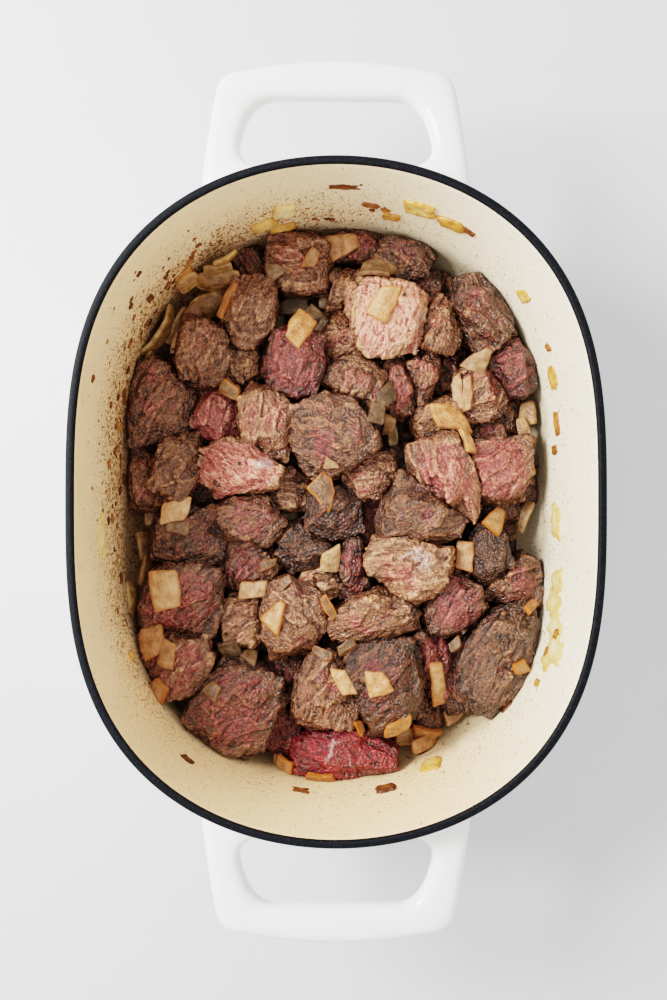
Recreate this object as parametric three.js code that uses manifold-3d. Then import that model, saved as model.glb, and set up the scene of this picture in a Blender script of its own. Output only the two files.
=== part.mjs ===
// An oval enamelled cast-iron stew pot with two loop handles, and in it a heap of browned meat with
// diced onion over a shallow layer of juices. Millimetres, +Z up, +Y along the pot, with the origin on
// the table under the middle of the pot.
import * as THREE from "three";
import { mergeVertices } from "three/addons/utils/BufferGeometryUtils.js";
import Module from "manifold-3d";

const wasm = await Module();
wasm.setup();

// Driving dimensions of the pot.
const rimHalfWidth = 125;
const rimHalfLength = 160;
const potHeight = 115;
const rimWidth = 4.1;
const wallThick = 3.8;
const floorThick = 5;
const wallDraft = THREE.MathUtils.degToRad(5);
const cornerRadius = 26;
const handleReach = 211;
const handleTop = 101;
const handleThick = 14;
const outlineSteps = 48;

// Driving dimensions of what is in it.
const juiceLevel = 10;
const touchGap = 0.3;
const cutGap = 0.25;
// Meat spreads a little past its listed sizes, and a piece of more than this footprint in square
// millimetres gets a finer grid.
const meatGrowth = 1.13;
const bigFootprint = 1620;

const lengthExcess = rimHalfLength - rimHalfWidth;
const cornerCentre = floorThick + cornerRadius;

// ---------------------------------------------------------------- shapes of the pot's walls

// Half the inner width of the pot at a height: a straight wall with draft, then a round corner.
function innerHalfWidth(z) {
  const wall = (level) => rimHalfWidth - rimWidth - (potHeight - level) * Math.tan(wallDraft);
  if (z >= cornerCentre) return wall(z);
  const below = Math.min(cornerCentre - z, cornerRadius);
  return wall(cornerCentre) - cornerRadius + Math.sqrt(cornerRadius ** 2 - below ** 2);
}

// Half the outer width at a height: the inner wall plus its thickness, with a round foot.
function outerHalfWidth(z) {
  if (z >= cornerCentre) return innerHalfWidth(z) + wallThick;
  const below = cornerCentre - z;
  return innerHalfWidth(cornerCentre) + wallThick - cornerCentre + Math.sqrt(cornerCentre ** 2 - below ** 2);
}

const flatHalfWidth = innerHalfWidth(floorThick);

// Half the length that goes with half a width: longer by the rim's excess, and less on the floor.
const halfLengthFor = (halfWidth) => halfWidth + lengthExcess * Math.min(1, halfWidth / flatHalfWidth);

// The outline is (x/a)^2 + |y/b|^3 = 1, a rounded oval with nearly straight sides.
const ovalMeasure = (x, y, a, b) => (x / a) ** 2 + Math.abs(y / b) ** 3;

// How far the outline lies from the middle in a direction, by halving.
function ovalRadius(a, b, angle) {
  const [c, s] = [Math.cos(angle), Math.sin(angle)];
  let [low, high] = [0, 1.5 * b];
  for (let step = 0; step < 40; step++) {
    const mid = (low + high) / 2;
    if (ovalMeasure(mid * c, mid * s, a, b) < 1) low = mid;
    else high = mid;
  }
  return low;
}

// A closed profile of [half width, height] points, turned round and stretched into the oval.
function ovalSolid(profile) {
  const lathe = new THREE.LatheGeometry(
    profile.map(([r, z]) => new THREE.Vector2(r, z)),
    outlineSteps,
  );
  lathe.rotateX(Math.PI / 2);
  const position = lathe.getAttribute("position");
  for (let i = 0; i < position.count; i++) {
    const [x, y] = [position.getX(i), position.getY(i)];
    const r = Math.hypot(x, y);
    if (r < 1e-6) continue;
    const angle = Math.atan2(y, x);
    const out = ovalRadius(r, halfLengthFor(r), angle);
    position.setXY(i, out * Math.cos(angle), out * Math.sin(angle));
  }
  return toSolid(lathe);
}

// ---------------------------------------------------------------- solids and geometries

function toSolid(geometry) {
  const bare = geometry.clone();
  bare.deleteAttribute("normal");
  bare.deleteAttribute("uv");
  const merged = mergeVertices(bare, 1e-3);
  const index = merged.index.array;
  const kept = [];
  for (let i = 0; i < index.length; i += 3) {
    const [a, b, c] = [index[i], index[i + 1], index[i + 2]];
    if (a !== b && b !== c && c !== a) kept.push(a, b, c);
  }
  const mesh = new wasm.Mesh({
    numProp: 3,
    vertProperties: new Float32Array(merged.getAttribute("position").array),
    triVerts: new Uint32Array(kept),
  });
  return new wasm.Manifold(mesh);
}

function toGeometry(solid) {
  const mesh = solid.getMesh();
  const geometry = new THREE.BufferGeometry();
  geometry.setAttribute("position", new THREE.BufferAttribute(new Float32Array(mesh.vertProperties), 3));
  geometry.setIndex(new THREE.BufferAttribute(new Uint32Array(mesh.triVerts), 1));
  geometry.computeVertexNormals();
  return geometry;
}

// The biggest of a solid's separate bodies: cutting can leave loose scraps.
function biggestBody(solid) {
  return solid.decompose().reduce((best, body) => (body.volume() > best.volume() ? body : best));
}

// Repeatable random numbers from 0 to 1.
function randomFrom(seed) {
  let state = seed * 2654435761 + 12345;
  return () => {
    state = (Math.imul(state ^ (state >>> 15), 2246822519) + 3266489917) | 0;
    return ((state ^ (state >>> 13)) >>> 0) / 4294967296;
  };
}

// ---------------------------------------------------------------- pot

// Points of a quarter round between two heights, in [half width, height].
function cornerPoints(halfWidthAt, zLow, zHigh, steps) {
  return Array.from({ length: steps + 1 }, (_, i) => {
    const z = zLow + (zHigh - zLow) * (1 - Math.cos(((i / steps) * Math.PI) / 2));
    return [halfWidthAt(z), z];
  });
}

function makePotBody() {
  const beadBottom = potHeight - 8;
  const beadTop = potHeight - 1.6;
  const outside = [
    [0, 0],
    ...cornerPoints(outerHalfWidth, 0, cornerCentre, 4),
    [outerHalfWidth(beadBottom), beadBottom],
    [rimHalfWidth, beadBottom + 3],
    [rimHalfWidth, beadTop],
    [rimHalfWidth - 0.7, potHeight - 0.4],
    [rimHalfWidth - rimWidth / 2, potHeight],
    [0, potHeight],
  ];
  return ovalSolid(outside);
}

function makePotCavity() {
  const inside = [
    [0, floorThick],
    ...cornerPoints(innerHalfWidth, floorThick, cornerCentre, 4),
    [innerHalfWidth(potHeight - 1.6), potHeight - 1.6],
    [rimHalfWidth - rimWidth * 0.8, potHeight - 0.4],
    [rimHalfWidth - rimWidth * 0.5, potHeight],
    [rimHalfWidth - rimWidth * 0.5, potHeight + 2],
    [0, potHeight + 2],
  ];
  return ovalSolid(inside);
}

// A flat loop with rounded edges, standing out of one end of the pot. Its far edge is bowed, its
// arms spread toward the pot, and its finger gap has wide round corners.
function makeHandle(side) {
  const rootHalfWidth = 70;
  const rootY = 138;
  const endHalfWidth = 56;
  const endCorner = 9;
  const endBow = 6;
  const edge = 4;
  const endY = handleReach - endBow;
  const loop = new THREE.Shape();
  loop.moveTo(-rootHalfWidth, rootY);
  loop.lineTo(rootHalfWidth, rootY);
  loop.lineTo(endHalfWidth + 0.2 * endCorner, endY - endCorner);
  loop.quadraticCurveTo(endHalfWidth, endY, endHalfWidth - endCorner, endY + 1);
  loop.quadraticCurveTo(0, 2 * handleReach - endY - 1, endCorner - endHalfWidth, endY + 1);
  loop.quadraticCurveTo(-endHalfWidth, endY, -endHalfWidth - 0.2 * endCorner, endY - endCorner);
  loop.closePath();

  const gapHalfWidth = 46;
  const gapFar = handleReach - 18;
  const gapNear = 161;
  const gapMiddle = 171;
  const gapCorner = 14;
  const gap = new THREE.Path();
  gap.moveTo(-gapHalfWidth, gapMiddle);
  gap.quadraticCurveTo(-gapHalfWidth + 4, gapFar, -gapHalfWidth + 4 + gapCorner, gapFar);
  gap.lineTo(gapHalfWidth - 4 - gapCorner, gapFar);
  gap.quadraticCurveTo(gapHalfWidth - 4, gapFar, gapHalfWidth, gapMiddle);
  gap.quadraticCurveTo(gapHalfWidth + 1, gapNear, gapHalfWidth - gapCorner, gapNear);
  gap.lineTo(gapCorner - gapHalfWidth, gapNear);
  gap.quadraticCurveTo(-gapHalfWidth - 1, gapNear, -gapHalfWidth, gapMiddle);
  loop.holes.push(gap);

  const geometry = new THREE.ExtrudeGeometry(loop, {
    depth: handleThick - 2 * edge,
    bevelThickness: edge,
    bevelSize: edge,
    bevelOffset: -edge,
    bevelSegments: 2,
    curveSegments: 6,
  });
  geometry.translate(0, 0, handleTop - handleThick + edge);
  if (side < 0) geometry.rotateZ(Math.PI);
  return toSolid(geometry);
}

function makePot() {
  return makePotBody().add(makeHandle(1)).add(makeHandle(-1)).subtract(makePotCavity());
}

// ---------------------------------------------------------------- meat

// The pieces that lie on top, each [x, y, width, length, height, turn in degrees, lift], and then a
// taper where the piece narrows along its length.
const topMeat = [
  [-21, 129, 37, 29, 30, -6, 2],
  [-47, 101, 26, 41, 34, -4, 4],
  [-52, 76, 21, 22, 26, 20, 0],
  [-71, 80, 26, 35, 36, -8, 5],
  [-95, 54, 35, 48, 36, -12, 2],
  [-22, 73, 30, 37, 38, -8, 6],
  [-63, 46, 27, 36, 32, 4, 0],
  [-36, 42, 29, 39, 36, 12, 5],
  [-2, 38, 41, 40, 38, 30, 6],
  [5, 87, 23, 28, 30, -25, 2],
  [7, 115, 17, 22, 28, -12, 0],
  [38, 132, 29, 21, 28, -28, 4],
  [29, 98, 42, 39, 30, -12, 12],
  [57, 94, 24, 28, 28, -32, 10],
  [77, 101, 40, 40, 36, -42, 5],
  [97, 72, 26, 29, 32, 6, 3],
  [11, 62, 34, 32, 34, -20, 4],
  [33, 64, 18, 39, 28, 14, 5],
  [47, 68, 16, 33, 26, -12, 6],
  [79, 60, 28, 31, 30, 20, 2],
  [54, 45, 25, 24, 28, 15, 2],
  [59, 12, 28, 51, 34, 22, 9, 0.2],
  [86, 17, 29, 33, 32, 0, 7],
  [45, -7, 41, 39, 38, -18, 6],
  [17, 14, 32, 25, 30, 12, 3],
  [0, -5, 30, 29, 32, 10, 3],
  [-23, 6, 28, 20, 26, -18, 1],
  [-52, 18, 44, 31, 32, -14, 9],
  [-84, 20, 22, 46, 32, -22, 7],
  [-101, 12, 21, 33, 28, -4, 1],
  [-47, -8, 35, 27, 30, -24, 7],
  [-78, -22, 38, 33, 32, -18, 4],
  [-48, -35, 32, 34, 30, 14, 1],
  [-18, -26, 24, 28, 28, -10, 2],
  [-9, -41, 25, 22, 26, 28, 3],
  [9, -38, 18, 39, 28, -20, 3],
  [40, -37, 45, 32, 34, -8, 10],
  [-83, -53, 39, 43, 38, -22, 4],
  [-47, -62, 25, 31, 32, 0, 3],
  [-23, -61, 36, 36, 36, 20, 5],
  [20, -63, 47, 25, 30, 17, 9],
  [61, -55, 29, 34, 34, 8, 4],
  [82, -31, 20, 40, 30, 10, 5],
  [96, -45, 27, 28, 30, 0, 2],
  [87, -82, 35, 59, 38, -22, 5, 0.12],
  [50, -84, 18, 39, 28, 4, 2],
  [25, -96, 40, 50, 36, 6, 7, 0.28],
  [-88, -85, 37, 40, 36, 14, 4],
  [-55, -110, 47, 47, 40, -12, 2],
  [-3, -104, 37, 37, 34, -14, 5],
  [2, -135, 52, 28, 30, -6, 4],
];

// Smaller pieces under and between those, which are part of the bed.
const lowMeat = [
  [-47, 130, 15, 21, 24, 30, 0],
  [13, 139, 25, 18, 26, -6, 0],
  [48, 117, 21, 20, 24, 0, 0],
  [61, 70, 15, 22, 22, 10, 0],
  [92, 47, 18, 18, 22, 0, 0],
  [91, -4, 22, 17, 22, 10, 0],
  [103, 11, 15, 24, 22, 0, 0],
  [84, 37, 22, 18, 24, 20, 2],
  [20, -9, 20, 30, 24, -14, 0],
  [33, 22, 26, 18, 22, 8, 0],
  [-72, 8, 17, 22, 22, -10, 0],
  [65, -96, 18, 40, 24, 12, 0],
  [41, -111, 20, 17, 20, 10, 0],
  [-28, -92, 19, 21, 22, 30, 0],
  [-31, -126, 23, 24, 24, -20, 0],
  [1, -82, 20, 17, 20, 0, 0],
  [51, -120, 13, 18, 18, 0, 0],
  [-62, -82, 20, 20, 18, 20, 0],
];

// A chopped piece: a soft six-sided block with uneven sides, whose radius in a direction is the
// smooth least of the distances to its sides, less or more by shallow lumps.
function makeBlock([x, y, width, length, height, turn, lift, taper = 0], seed) {
  const random = randomFrom(seed + 1);
  const spread = (amount) => (random() - 0.5) * 2 * amount;
  const half = [(meatGrowth * width) / 2, (meatGrowth * length) / 2, height / 2];
  const lean = new THREE.Euler(spread(0.16), spread(0.16), THREE.MathUtils.degToRad(turn));
  const turned = new THREE.Quaternion().setFromEuler(lean);
  const sides = [];
  for (let axis = 0; axis < 3; axis++) {
    for (const sign of [-1, 1]) {
      const normal = new THREE.Vector3(spread(0.18), spread(0.18), spread(0.14));
      normal.setComponent(axis, sign);
      if (axis === 0) normal.y -= taper;
      normal.normalize();
      sides.push({ normal, distance: half[axis] * (1 + spread(0.07)) });
    }
  }
  const smallest = Math.min(...half);
  for (let i = 0; i < 3; i++) {
    const normal = new THREE.Vector3(spread(1), spread(1), 0.3 + random()).normalize();
    const corner = Math.abs(normal.x) * half[0] + Math.abs(normal.y) * half[1] + Math.abs(normal.z) * half[2];
    sides.push({ normal, distance: Math.max(0.78 * corner, 1.02 * smallest) });
  }
  const phases = [random() * 6, random() * 6, random() * 6];
  const edgeSharpness = 14;
  const reach = (direction) => {
    const local = direction.clone().applyQuaternion(turned.clone().invert());
    const sum = sides.reduce(
      (total, side) => total + (Math.max(0, side.normal.dot(local)) / side.distance) ** edgeSharpness,
      0,
    );
    const lumps =
      Math.sin(4.1 * local.x + phases[0]) * Math.sin(3.7 * local.y + phases[1]) +
      0.6 * Math.sin(7.3 * local.z + 5.2 * local.x + phases[2]);
    return sum ** (-1 / edgeSharpness) * (1 + 0.045 * lumps);
  };
  const centre = new THREE.Vector3(x, y, juiceLevel + height / 2 + lift);
  return { centre, half, turned, reach, planes: [], big: width * length > bigFootprint };
}

// Two blocks that meet are parted by a plane across the line between their middles, at the
// place where each has its fair share, so that they press on each other without crossing.
function partBlocks(blocks) {
  blocks.forEach((one, i) => {
    blocks.slice(i + 1).forEach((other) => {
      const between = other.centre.clone().sub(one.centre);
      const distance = between.length();
      if (distance > 90) return;
      const normal = between.divideScalar(distance);
      const [mine, theirs] = [one.reach(normal), other.reach(normal.clone().negate())];
      const share = (distance * mine) / (mine + theirs);
      one.planes.push({ normal, distance: share - touchGap / 2 });
      other.planes.push({ normal: normal.clone().negate(), distance: distance - share - touchGap / 2 });
    });
  });
}

// True where a point is clear of the pot's inner wall.
function insidePot(point, clearance) {
  if (point.z < floorThick + clearance) return false;
  const halfWidth = innerHalfWidth(point.z) - clearance;
  return ovalMeasure(point.x, point.y, halfWidth, halfWidth + lengthExcess) < 1;
}

// The block's surface in a direction: its own form, or the plane or wall that it meets first.
function blockPoint(block, direction, lowest) {
  let radius = block.reach(direction);
  for (const plane of block.planes) {
    const facing = plane.normal.dot(direction);
    if (facing > 0) radius = Math.min(radius, plane.distance / facing);
  }
  if (direction.z < 0) radius = Math.min(radius, (block.centre.z - lowest) / -direction.z);
  const at = (r) => block.centre.clone().addScaledVector(direction, r);
  const wallClearance = 1.3;
  if (insidePot(at(radius), wallClearance)) return at(radius);
  let [low, high] = [0, radius];
  for (let step = 0; step < 24; step++) {
    const mid = (low + high) / 2;
    if (insidePot(at(mid), wallClearance)) low = mid;
    else high = mid;
  }
  return at(low);
}

// A grid on a box, laid over the block's surface along its own axes, so that its edges stay crisp.
function blockGeometry(block, lowest, divisions, extra = 0) {
  const geometry = new THREE.BoxGeometry(2, 2, 2, divisions, divisions, divisions);
  const position = geometry.getAttribute("position");
  const even = (value) => Math.tan((value * Math.PI) / 4);
  for (let i = 0; i < position.count; i++) {
    const direction = new THREE.Vector3(
      even(position.getX(i)) * block.half[0],
      even(position.getY(i)) * block.half[1],
      even(position.getZ(i)) * block.half[2],
    );
    direction.applyQuaternion(block.turned).normalize();
    const point = blockPoint(block, direction, lowest).addScaledVector(direction, extra);
    position.setXYZ(i, point.x, point.y, point.z);
  }
  return geometry;
}

const meatSolid = (block, extra) => toSolid(blockGeometry(block, juiceLevel + touchGap, block.big ? 4 : 3, extra));

// Copies of a solid moved by the gap to each side and up, to cut what lies on it.
function shiftedCopies(solid) {
  const shifts = [
    [0, 0, touchGap],
    [touchGap, 0, 0],
    [-touchGap, 0, 0],
    [0, touchGap, 0],
    [0, -touchGap, 0],
  ];
  return shifts.map((shift) => solid.translate(shift));
}

// ---------------------------------------------------------------- onion

// Pieces that lie on the meat, each [x, y, width, length, turn in degrees].
const topOnion = [
  [4, 139, 18, 11, 18],
  [25, 104, 11, 18, -28],
  [-19, 91, 12, 18, -32],
  [61, 45, 17, 15, 22],
  [-6, 7, 12, 12, 45],
  [-85, -6, 13, 12, -8],
  [-89, -46, 15, 20, 12],
];

// Pieces that stand in the bed between the meat and along the wall, each
// [x, y, width, length, height, turn in degrees].
const bedOnion = [
  [-98, 86, 7, 20, 26, -28],
  [-88, 100, 16, 9, 24, 40],
  [-76, 112, 17, 10, 26, 35],
  [-66, 122, 16, 8, 24, 32],
  [-70, 104, 14, 12, 20, 20],
  [-100, -6, 10, 11, 18, 0],
  [-106, -22, 8, 14, 18, 10],
  [-104, -38, 8, 18, 18, -16],
  [-110, -56, 7, 20, 24, 4],
  [-104, -104, 10, 12, 18, 40],
  [-24, 108, 18, 8, 18, 6],
  [-33, 100, 9, 14, 16, 0],
  [-7, 94, 9, 13, 20, -30],
  [-32, 60, 12, 10, 16, 10],
  [-45, 60, 14, 8, 20, -12],
  [104, 46, 9, 13, 22, 0],
  [104, 30, 8, 16, 22, -18],
  [104, 20, 12, 8, 22, 0],
  [86, -12, 12, 10, 24, -30],
  [101, -9, 7, 18, 22, -22],
  [24, 44, 14, 14, 18, 0],
  [31, 38, 6, 16, 22, 8],
  [-27, -6, 11, 12, 16, 4],
  [-45, -78, 18, 7, 18, -4],
  [-55, -74, 13, 10, 20, 20],
  [33, -120, 16, 12, 18, -6],
  [50, -130, 17, 8, 14, 12],
  [40, -128, 14, 10, 12, -8],
  [66, -116, 14, 9, 14, 20],
  [92, -108, 10, 8, 20, 30],
  [70, -76, 9, 9, 18, 0],
  [-28, -137, 13, 9, 16, 12],
];

// A slab of one onion layer, cupped across its width.
function slabGeometry(width, length, thick) {
  const geometry = new THREE.BoxGeometry(width, length, thick, 3, 1, 1);
  const position = geometry.getAttribute("position");
  const cup = 14 * Math.max(width, length);
  for (let i = 0; i < position.count; i++) {
    position.setZ(i, position.getZ(i) - position.getX(i) ** 2 / (cup / 6));
  }
  return geometry;
}

// Where a vertical line first meets the meat from above, and the mean slope round that place.
function surfaceUnder(meshes, x, y, spread) {
  const caster = new THREE.Raycaster();
  const normal = new THREE.Vector3();
  let height = -Infinity;
  for (const [dx, dy] of [
    [0, 0],
    [spread, 0],
    [-spread, 0],
    [0, spread],
    [0, -spread],
  ]) {
    caster.set(new THREE.Vector3(x + dx, y + dy, 2 * potHeight), new THREE.Vector3(0, 0, -1));
    const [hit] = caster.intersectObjects(meshes, false);
    if (!hit) continue;
    if (dx === 0 && dy === 0) height = hit.point.z;
    normal.add(hit.face.normal);
  }
  return { height, normal: normal.normalize() };
}

function makeTopOnion([x, y, width, length, turn], meshes, cutters) {
  const thick = 2.6;
  const bedding = 0.9;
  const { height, normal } = surfaceUnder(meshes, x, y, width / 3);
  const geometry = slabGeometry(width, length, thick);
  geometry.rotateZ(THREE.MathUtils.degToRad(turn));
  geometry.applyQuaternion(new THREE.Quaternion().setFromUnitVectors(new THREE.Vector3(0, 0, 1), normal));
  geometry.translate(x, y, height);
  geometry.translate(
    normal.x * (thick / 2 - bedding),
    normal.y * (thick / 2 - bedding),
    normal.z * (thick / 2 - bedding) + 1.2,
  );
  let solid = toSolid(geometry);
  for (const cutter of cutters) solid = solid.subtract(cutter);
  return biggestBody(solid);
}

function makeBedOnion([x, y, width, length, height, turn], seed) {
  const random = randomFrom(seed + 500);
  const geometry = new THREE.BoxGeometry(width, length, height - 2);
  geometry.rotateX((random() - 0.5) * 0.5);
  geometry.rotateY((random() - 0.5) * 0.5);
  geometry.rotateZ(THREE.MathUtils.degToRad(turn));
  geometry.translate(x, y, juiceLevel - 2 + height / 2);
  return toSolid(geometry);
}

// ---------------------------------------------------------------- bed

// The room inside the pot, drawn in from its walls and floor by a clearance.
function makeRoom(clearance) {
  const drawnIn = 1 - clearance / flatHalfWidth;
  return makePotCavity().scale([drawnIn, drawnIn, 1]).translate([0, 0, clearance]);
}

// The juices with the low pieces fused on, cut clear of the meat that lies on them.
function makeBed(lowBlocks, cutters) {
  const room = makeRoom(touchGap);
  let bed = room.trimByPlane([0, 0, -1], -juiceLevel);
  for (const block of lowBlocks) bed = bed.add(toSolid(blockGeometry(block, juiceLevel - 2, 2)));
  bedOnion.forEach((piece, i) => {
    bed = bed.add(makeBedOnion(piece, i));
  });
  bed = bed.intersect(room);
  for (const cutter of cutters) bed = bed.subtract(cutter);
  return biggestBody(bed);
}

// ---------------------------------------------------------------- assembly

const enamel = new THREE.MeshStandardMaterial({ color: 0xf1efeb, roughness: 0.22, metalness: 0.1 });
const brownedMeat = new THREE.MeshStandardMaterial({ color: 0x7a5545, roughness: 0.5, metalness: 0 });
const softOnion = new THREE.MeshStandardMaterial({ color: 0xcda96c, roughness: 0.3, metalness: 0 });
const juices = new THREE.MeshStandardMaterial({ color: 0x5a3d2b, roughness: 0.2, metalness: 0 });

const stewPot = new THREE.Group();
stewPot.name = "stew_pot";

function addNode(name, geometry, material) {
  const mesh = new THREE.Mesh(geometry, material);
  mesh.name = name;
  mesh.updateMatrixWorld(true);
  stewPot.add(mesh);
  return mesh;
}

const numbered = (word, i) => `${word}_${String(i + 1).padStart(2, "0")}`;

addNode("pot", toGeometry(makePot()), enamel);

const topBlocks = topMeat.map(makeBlock);
const lowBlocks = lowMeat.map((piece, i) => makeBlock(piece, i + 100));
partBlocks([...topBlocks, ...lowBlocks]);

const meatMeshes = topBlocks.map((block, i) =>
  addNode(numbered("meat", i), toGeometry(meatSolid(block, 0)), brownedMeat),
);
const meatCutters = topBlocks.map((block) => meatSolid(block, cutGap));

const bed = makeBed(lowBlocks, meatCutters);
const bedMesh = addNode("stew_bed", toGeometry(bed), juices);

const onionSupports = [...meatMeshes, bedMesh];
const onionCutters = [...meatCutters, ...shiftedCopies(bed)];
topOnion.forEach((piece, i) => {
  const solid = makeTopOnion(piece, onionSupports, onionCutters);
  addNode(numbered("onion", i), toGeometry(solid), softOnion);
});

export default stewPot;
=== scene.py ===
import math

import bpy
import numpy as np
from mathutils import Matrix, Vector


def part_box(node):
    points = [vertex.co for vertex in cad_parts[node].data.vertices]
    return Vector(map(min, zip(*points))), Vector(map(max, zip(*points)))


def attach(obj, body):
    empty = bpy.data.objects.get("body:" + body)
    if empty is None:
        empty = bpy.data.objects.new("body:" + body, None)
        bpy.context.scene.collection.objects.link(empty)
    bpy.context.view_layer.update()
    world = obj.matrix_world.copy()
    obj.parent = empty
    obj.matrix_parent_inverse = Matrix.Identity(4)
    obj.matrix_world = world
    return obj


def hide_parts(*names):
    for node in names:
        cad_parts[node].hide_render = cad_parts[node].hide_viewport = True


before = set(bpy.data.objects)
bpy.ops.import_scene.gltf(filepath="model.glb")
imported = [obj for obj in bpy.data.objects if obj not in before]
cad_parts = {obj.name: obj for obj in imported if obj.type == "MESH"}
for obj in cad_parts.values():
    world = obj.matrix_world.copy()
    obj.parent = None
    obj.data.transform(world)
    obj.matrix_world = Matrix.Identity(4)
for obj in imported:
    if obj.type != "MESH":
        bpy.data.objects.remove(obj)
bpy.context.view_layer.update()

# An oval enamelled stew pot seen from above, with browned meat and diced onion in it.
# Shapes are worked out in millimetres and put into metres when a mesh is made.
mm = 0.001


def latticeRandom(cell, seed):
    # Three repeatable numbers from -1 to 1 for each corner of a lattice.
    mixed = (cell[..., 0] * 73856093) ^ (cell[..., 1] * 19349663) ^ ((cell[..., 2] + 1013 * seed) * 83492791)
    mixed = ((mixed ^ (mixed >> 13)) * 1274126177) & 0x3fffffff
    mixed = ((mixed ^ (mixed >> 15)) * 2246822519) & 0x3fffffff
    return np.stack([(mixed >> shift & 1023) / 511.5 - 1 for shift in (0, 10, 20)], -1)


def noise(points, size, seed=0):
    # Smooth random values from about -1 to 1: each corner of a lattice of the given size has a random
    # slope, and the eight slopes round a point are blended with an S-curve.
    p = np.asarray(points) / size + 0.31
    cell = np.floor(p).astype(np.int64)
    f = p - cell
    blend = f * f * f * (f * (f * 6 - 15) + 10)
    total = 0
    for corner in np.ndindex(2, 2, 2):
        share = np.prod(np.where(corner, blend, 1 - blend), -1)
        total = total + share * (latticeRandom(cell + corner, seed) * (f - corner)).sum(-1)
    return 1.6 * total


def pebbles(points, size, seed=0):
    # Packed round crumbs of the given size: the distance to the nearest of one random point in each
    # cell of a lattice, from 0 at a crumb's middle to about 0.8 in the creases between them.
    p = np.asarray(points) / size
    cell = np.floor(p - 0.5).astype(np.int64)
    nearest = np.full(p.shape[:-1], 2.0)
    for corner in np.ndindex(2, 2, 2):
        at = cell + corner
        spot = at + 0.5 + 0.36 * latticeRandom(at, seed)
        nearest = np.minimum(nearest, np.linalg.norm(p - spot, axis=-1))
    return nearest


def smoothStep(low, high, value):
    # 0 below low, 1 above high, and an S-curve between.
    t = np.clip((value - low) / (high - low), 0, 1)
    return t * t * (3 - 2 * t)


def unit(vectors):
    return vectors / np.maximum(np.linalg.norm(vectors, axis=-1, keepdims=True), 1e-9)


def cosSin(degrees):
    return math.cos(math.radians(degrees)), math.sin(math.radians(degrees))


def turned(points, degrees):
    # Points turned about Z.
    c, s = cosSin(degrees)
    x, y, z = np.moveaxis(points, -1, 0)
    return np.stack([c * x - s * y, s * x + c * y, z], -1)


def relaxed(rings, passes):
    # Each point moves halfway to the mean of its four neighbours, once for each pass.
    for step in range(passes):
        above = np.concatenate([rings[:1], rings[:-1]])
        below = np.concatenate([rings[1:], rings[-1:]])
        beside = np.roll(rings, 1, 1) + np.roll(rings, -1, 1)
        rings = 0.5 * rings + 0.125 * (above + below + beside)
    return rings


def ringNormals(rings):
    # The cross product of the steps to the next ring and the next point, outwards from the middle.
    across = np.roll(rings, -1, 1) - np.roll(rings, 1, 1)
    along = np.gradient(rings, axis=0)
    normals = unit(np.cross(across, along))
    outward = ((rings - rings.reshape(-1, 3).mean(0)) * normals).sum()
    return normals * (1 if outward > 0 else -1)


def facedOutward(points, quads, triangles):
    # The faces, turned over if the volume within the quads comes out below zero.
    a, b, c, d = np.moveaxis(points[quads], 1, 0)
    volume = (a * np.cross(b, c)).sum() + (a * np.cross(c, d)).sum()
    return [face[:, ::-1] if volume < 0 else face for face in (quads, triangles)]


def closedRings(rings, **fields):
    # A closed surface through rings of points, each end closed by a fan on its middle, with the fields
    # given for its points.
    count, around = rings.shape[:2]
    points = np.concatenate([rings.reshape(-1, 3), rings[0].mean(0)[None], rings[-1].mean(0)[None]])
    i, j = np.meshgrid(np.arange(count - 1) * around, np.arange(around), indexing="ij")
    following = (j + 1) % around
    quads = np.stack([i + j, i + following, i + following + around, i + j + around], -1).reshape(-1, 4)
    ring, last, middles = j[0], (count - 1) * around, count * around
    first = np.stack([0 * ring + middles, following[0], ring], -1)
    final = np.stack([0 * ring + middles + 1, last + ring, last + following[0]], -1)
    faces = facedOutward(points, quads, np.concatenate([first, final]))
    spread = {}
    for name, values in fields.items():
        wide = np.broadcast_to(values, rings.shape[:2] + np.shape(values)[2:])
        flat = wide.reshape((-1,) + wide.shape[2:])
        spread[name] = np.concatenate([flat, wide[0].mean(0)[None], wide[-1].mean(0)[None]])
    return {"points": points, "faces": faces, "fields": spread}


def joined(parts):
    # Several surfaces as one, with their fields.
    starts = np.cumsum([0] + [len(part["points"]) for part in parts[:-1]])
    kinds = range(len(parts[0]["faces"]))
    return {
        "points": np.concatenate([part["points"] for part in parts]),
        "faces": [np.concatenate([p["faces"][k] + s for p, s in zip(parts, starts)]) for k in kinds],
        "fields": {n: np.concatenate([part["fields"][n] for part in parts]) for n in parts[0]["fields"]},
    }


def makePiece(name, part, material, nodes=()):
    # The surface as a mesh object that rides on the pot's one body.
    mesh = bpy.data.meshes.new(name)
    corners = np.concatenate([face.ravel() for face in part["faces"]])
    sizes = np.concatenate([np.full(len(face), face.shape[1]) for face in part["faces"]])
    mesh.vertices.add(len(part["points"]))
    mesh.vertices.foreach_set("co", (part["points"] * mm).astype(np.float32).ravel())
    mesh.loops.add(len(corners))
    mesh.loops.foreach_set("vertex_index", corners.astype(np.int32))
    mesh.polygons.add(len(sizes))
    mesh.polygons.foreach_set("loop_start", (np.cumsum(sizes) - sizes).astype(np.int32))
    mesh.update(calc_edges=True)
    mesh.validate()
    mesh.shade_smooth()
    for field, values in part["fields"].items():
        isVector = values.ndim == 2
        layer = mesh.attributes.new(field, "FLOAT_VECTOR" if isVector else "FLOAT", "POINT")
        layer.data.foreach_set("vector" if isVector else "value", values.astype(np.float32).ravel())
    mesh.materials.append(material)
    piece = bpy.data.objects.new(name, mesh)
    bpy.context.scene.collection.objects.link(piece)
    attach(piece, "root")
    if nodes:
        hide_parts(*nodes)
    return piece


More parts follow.
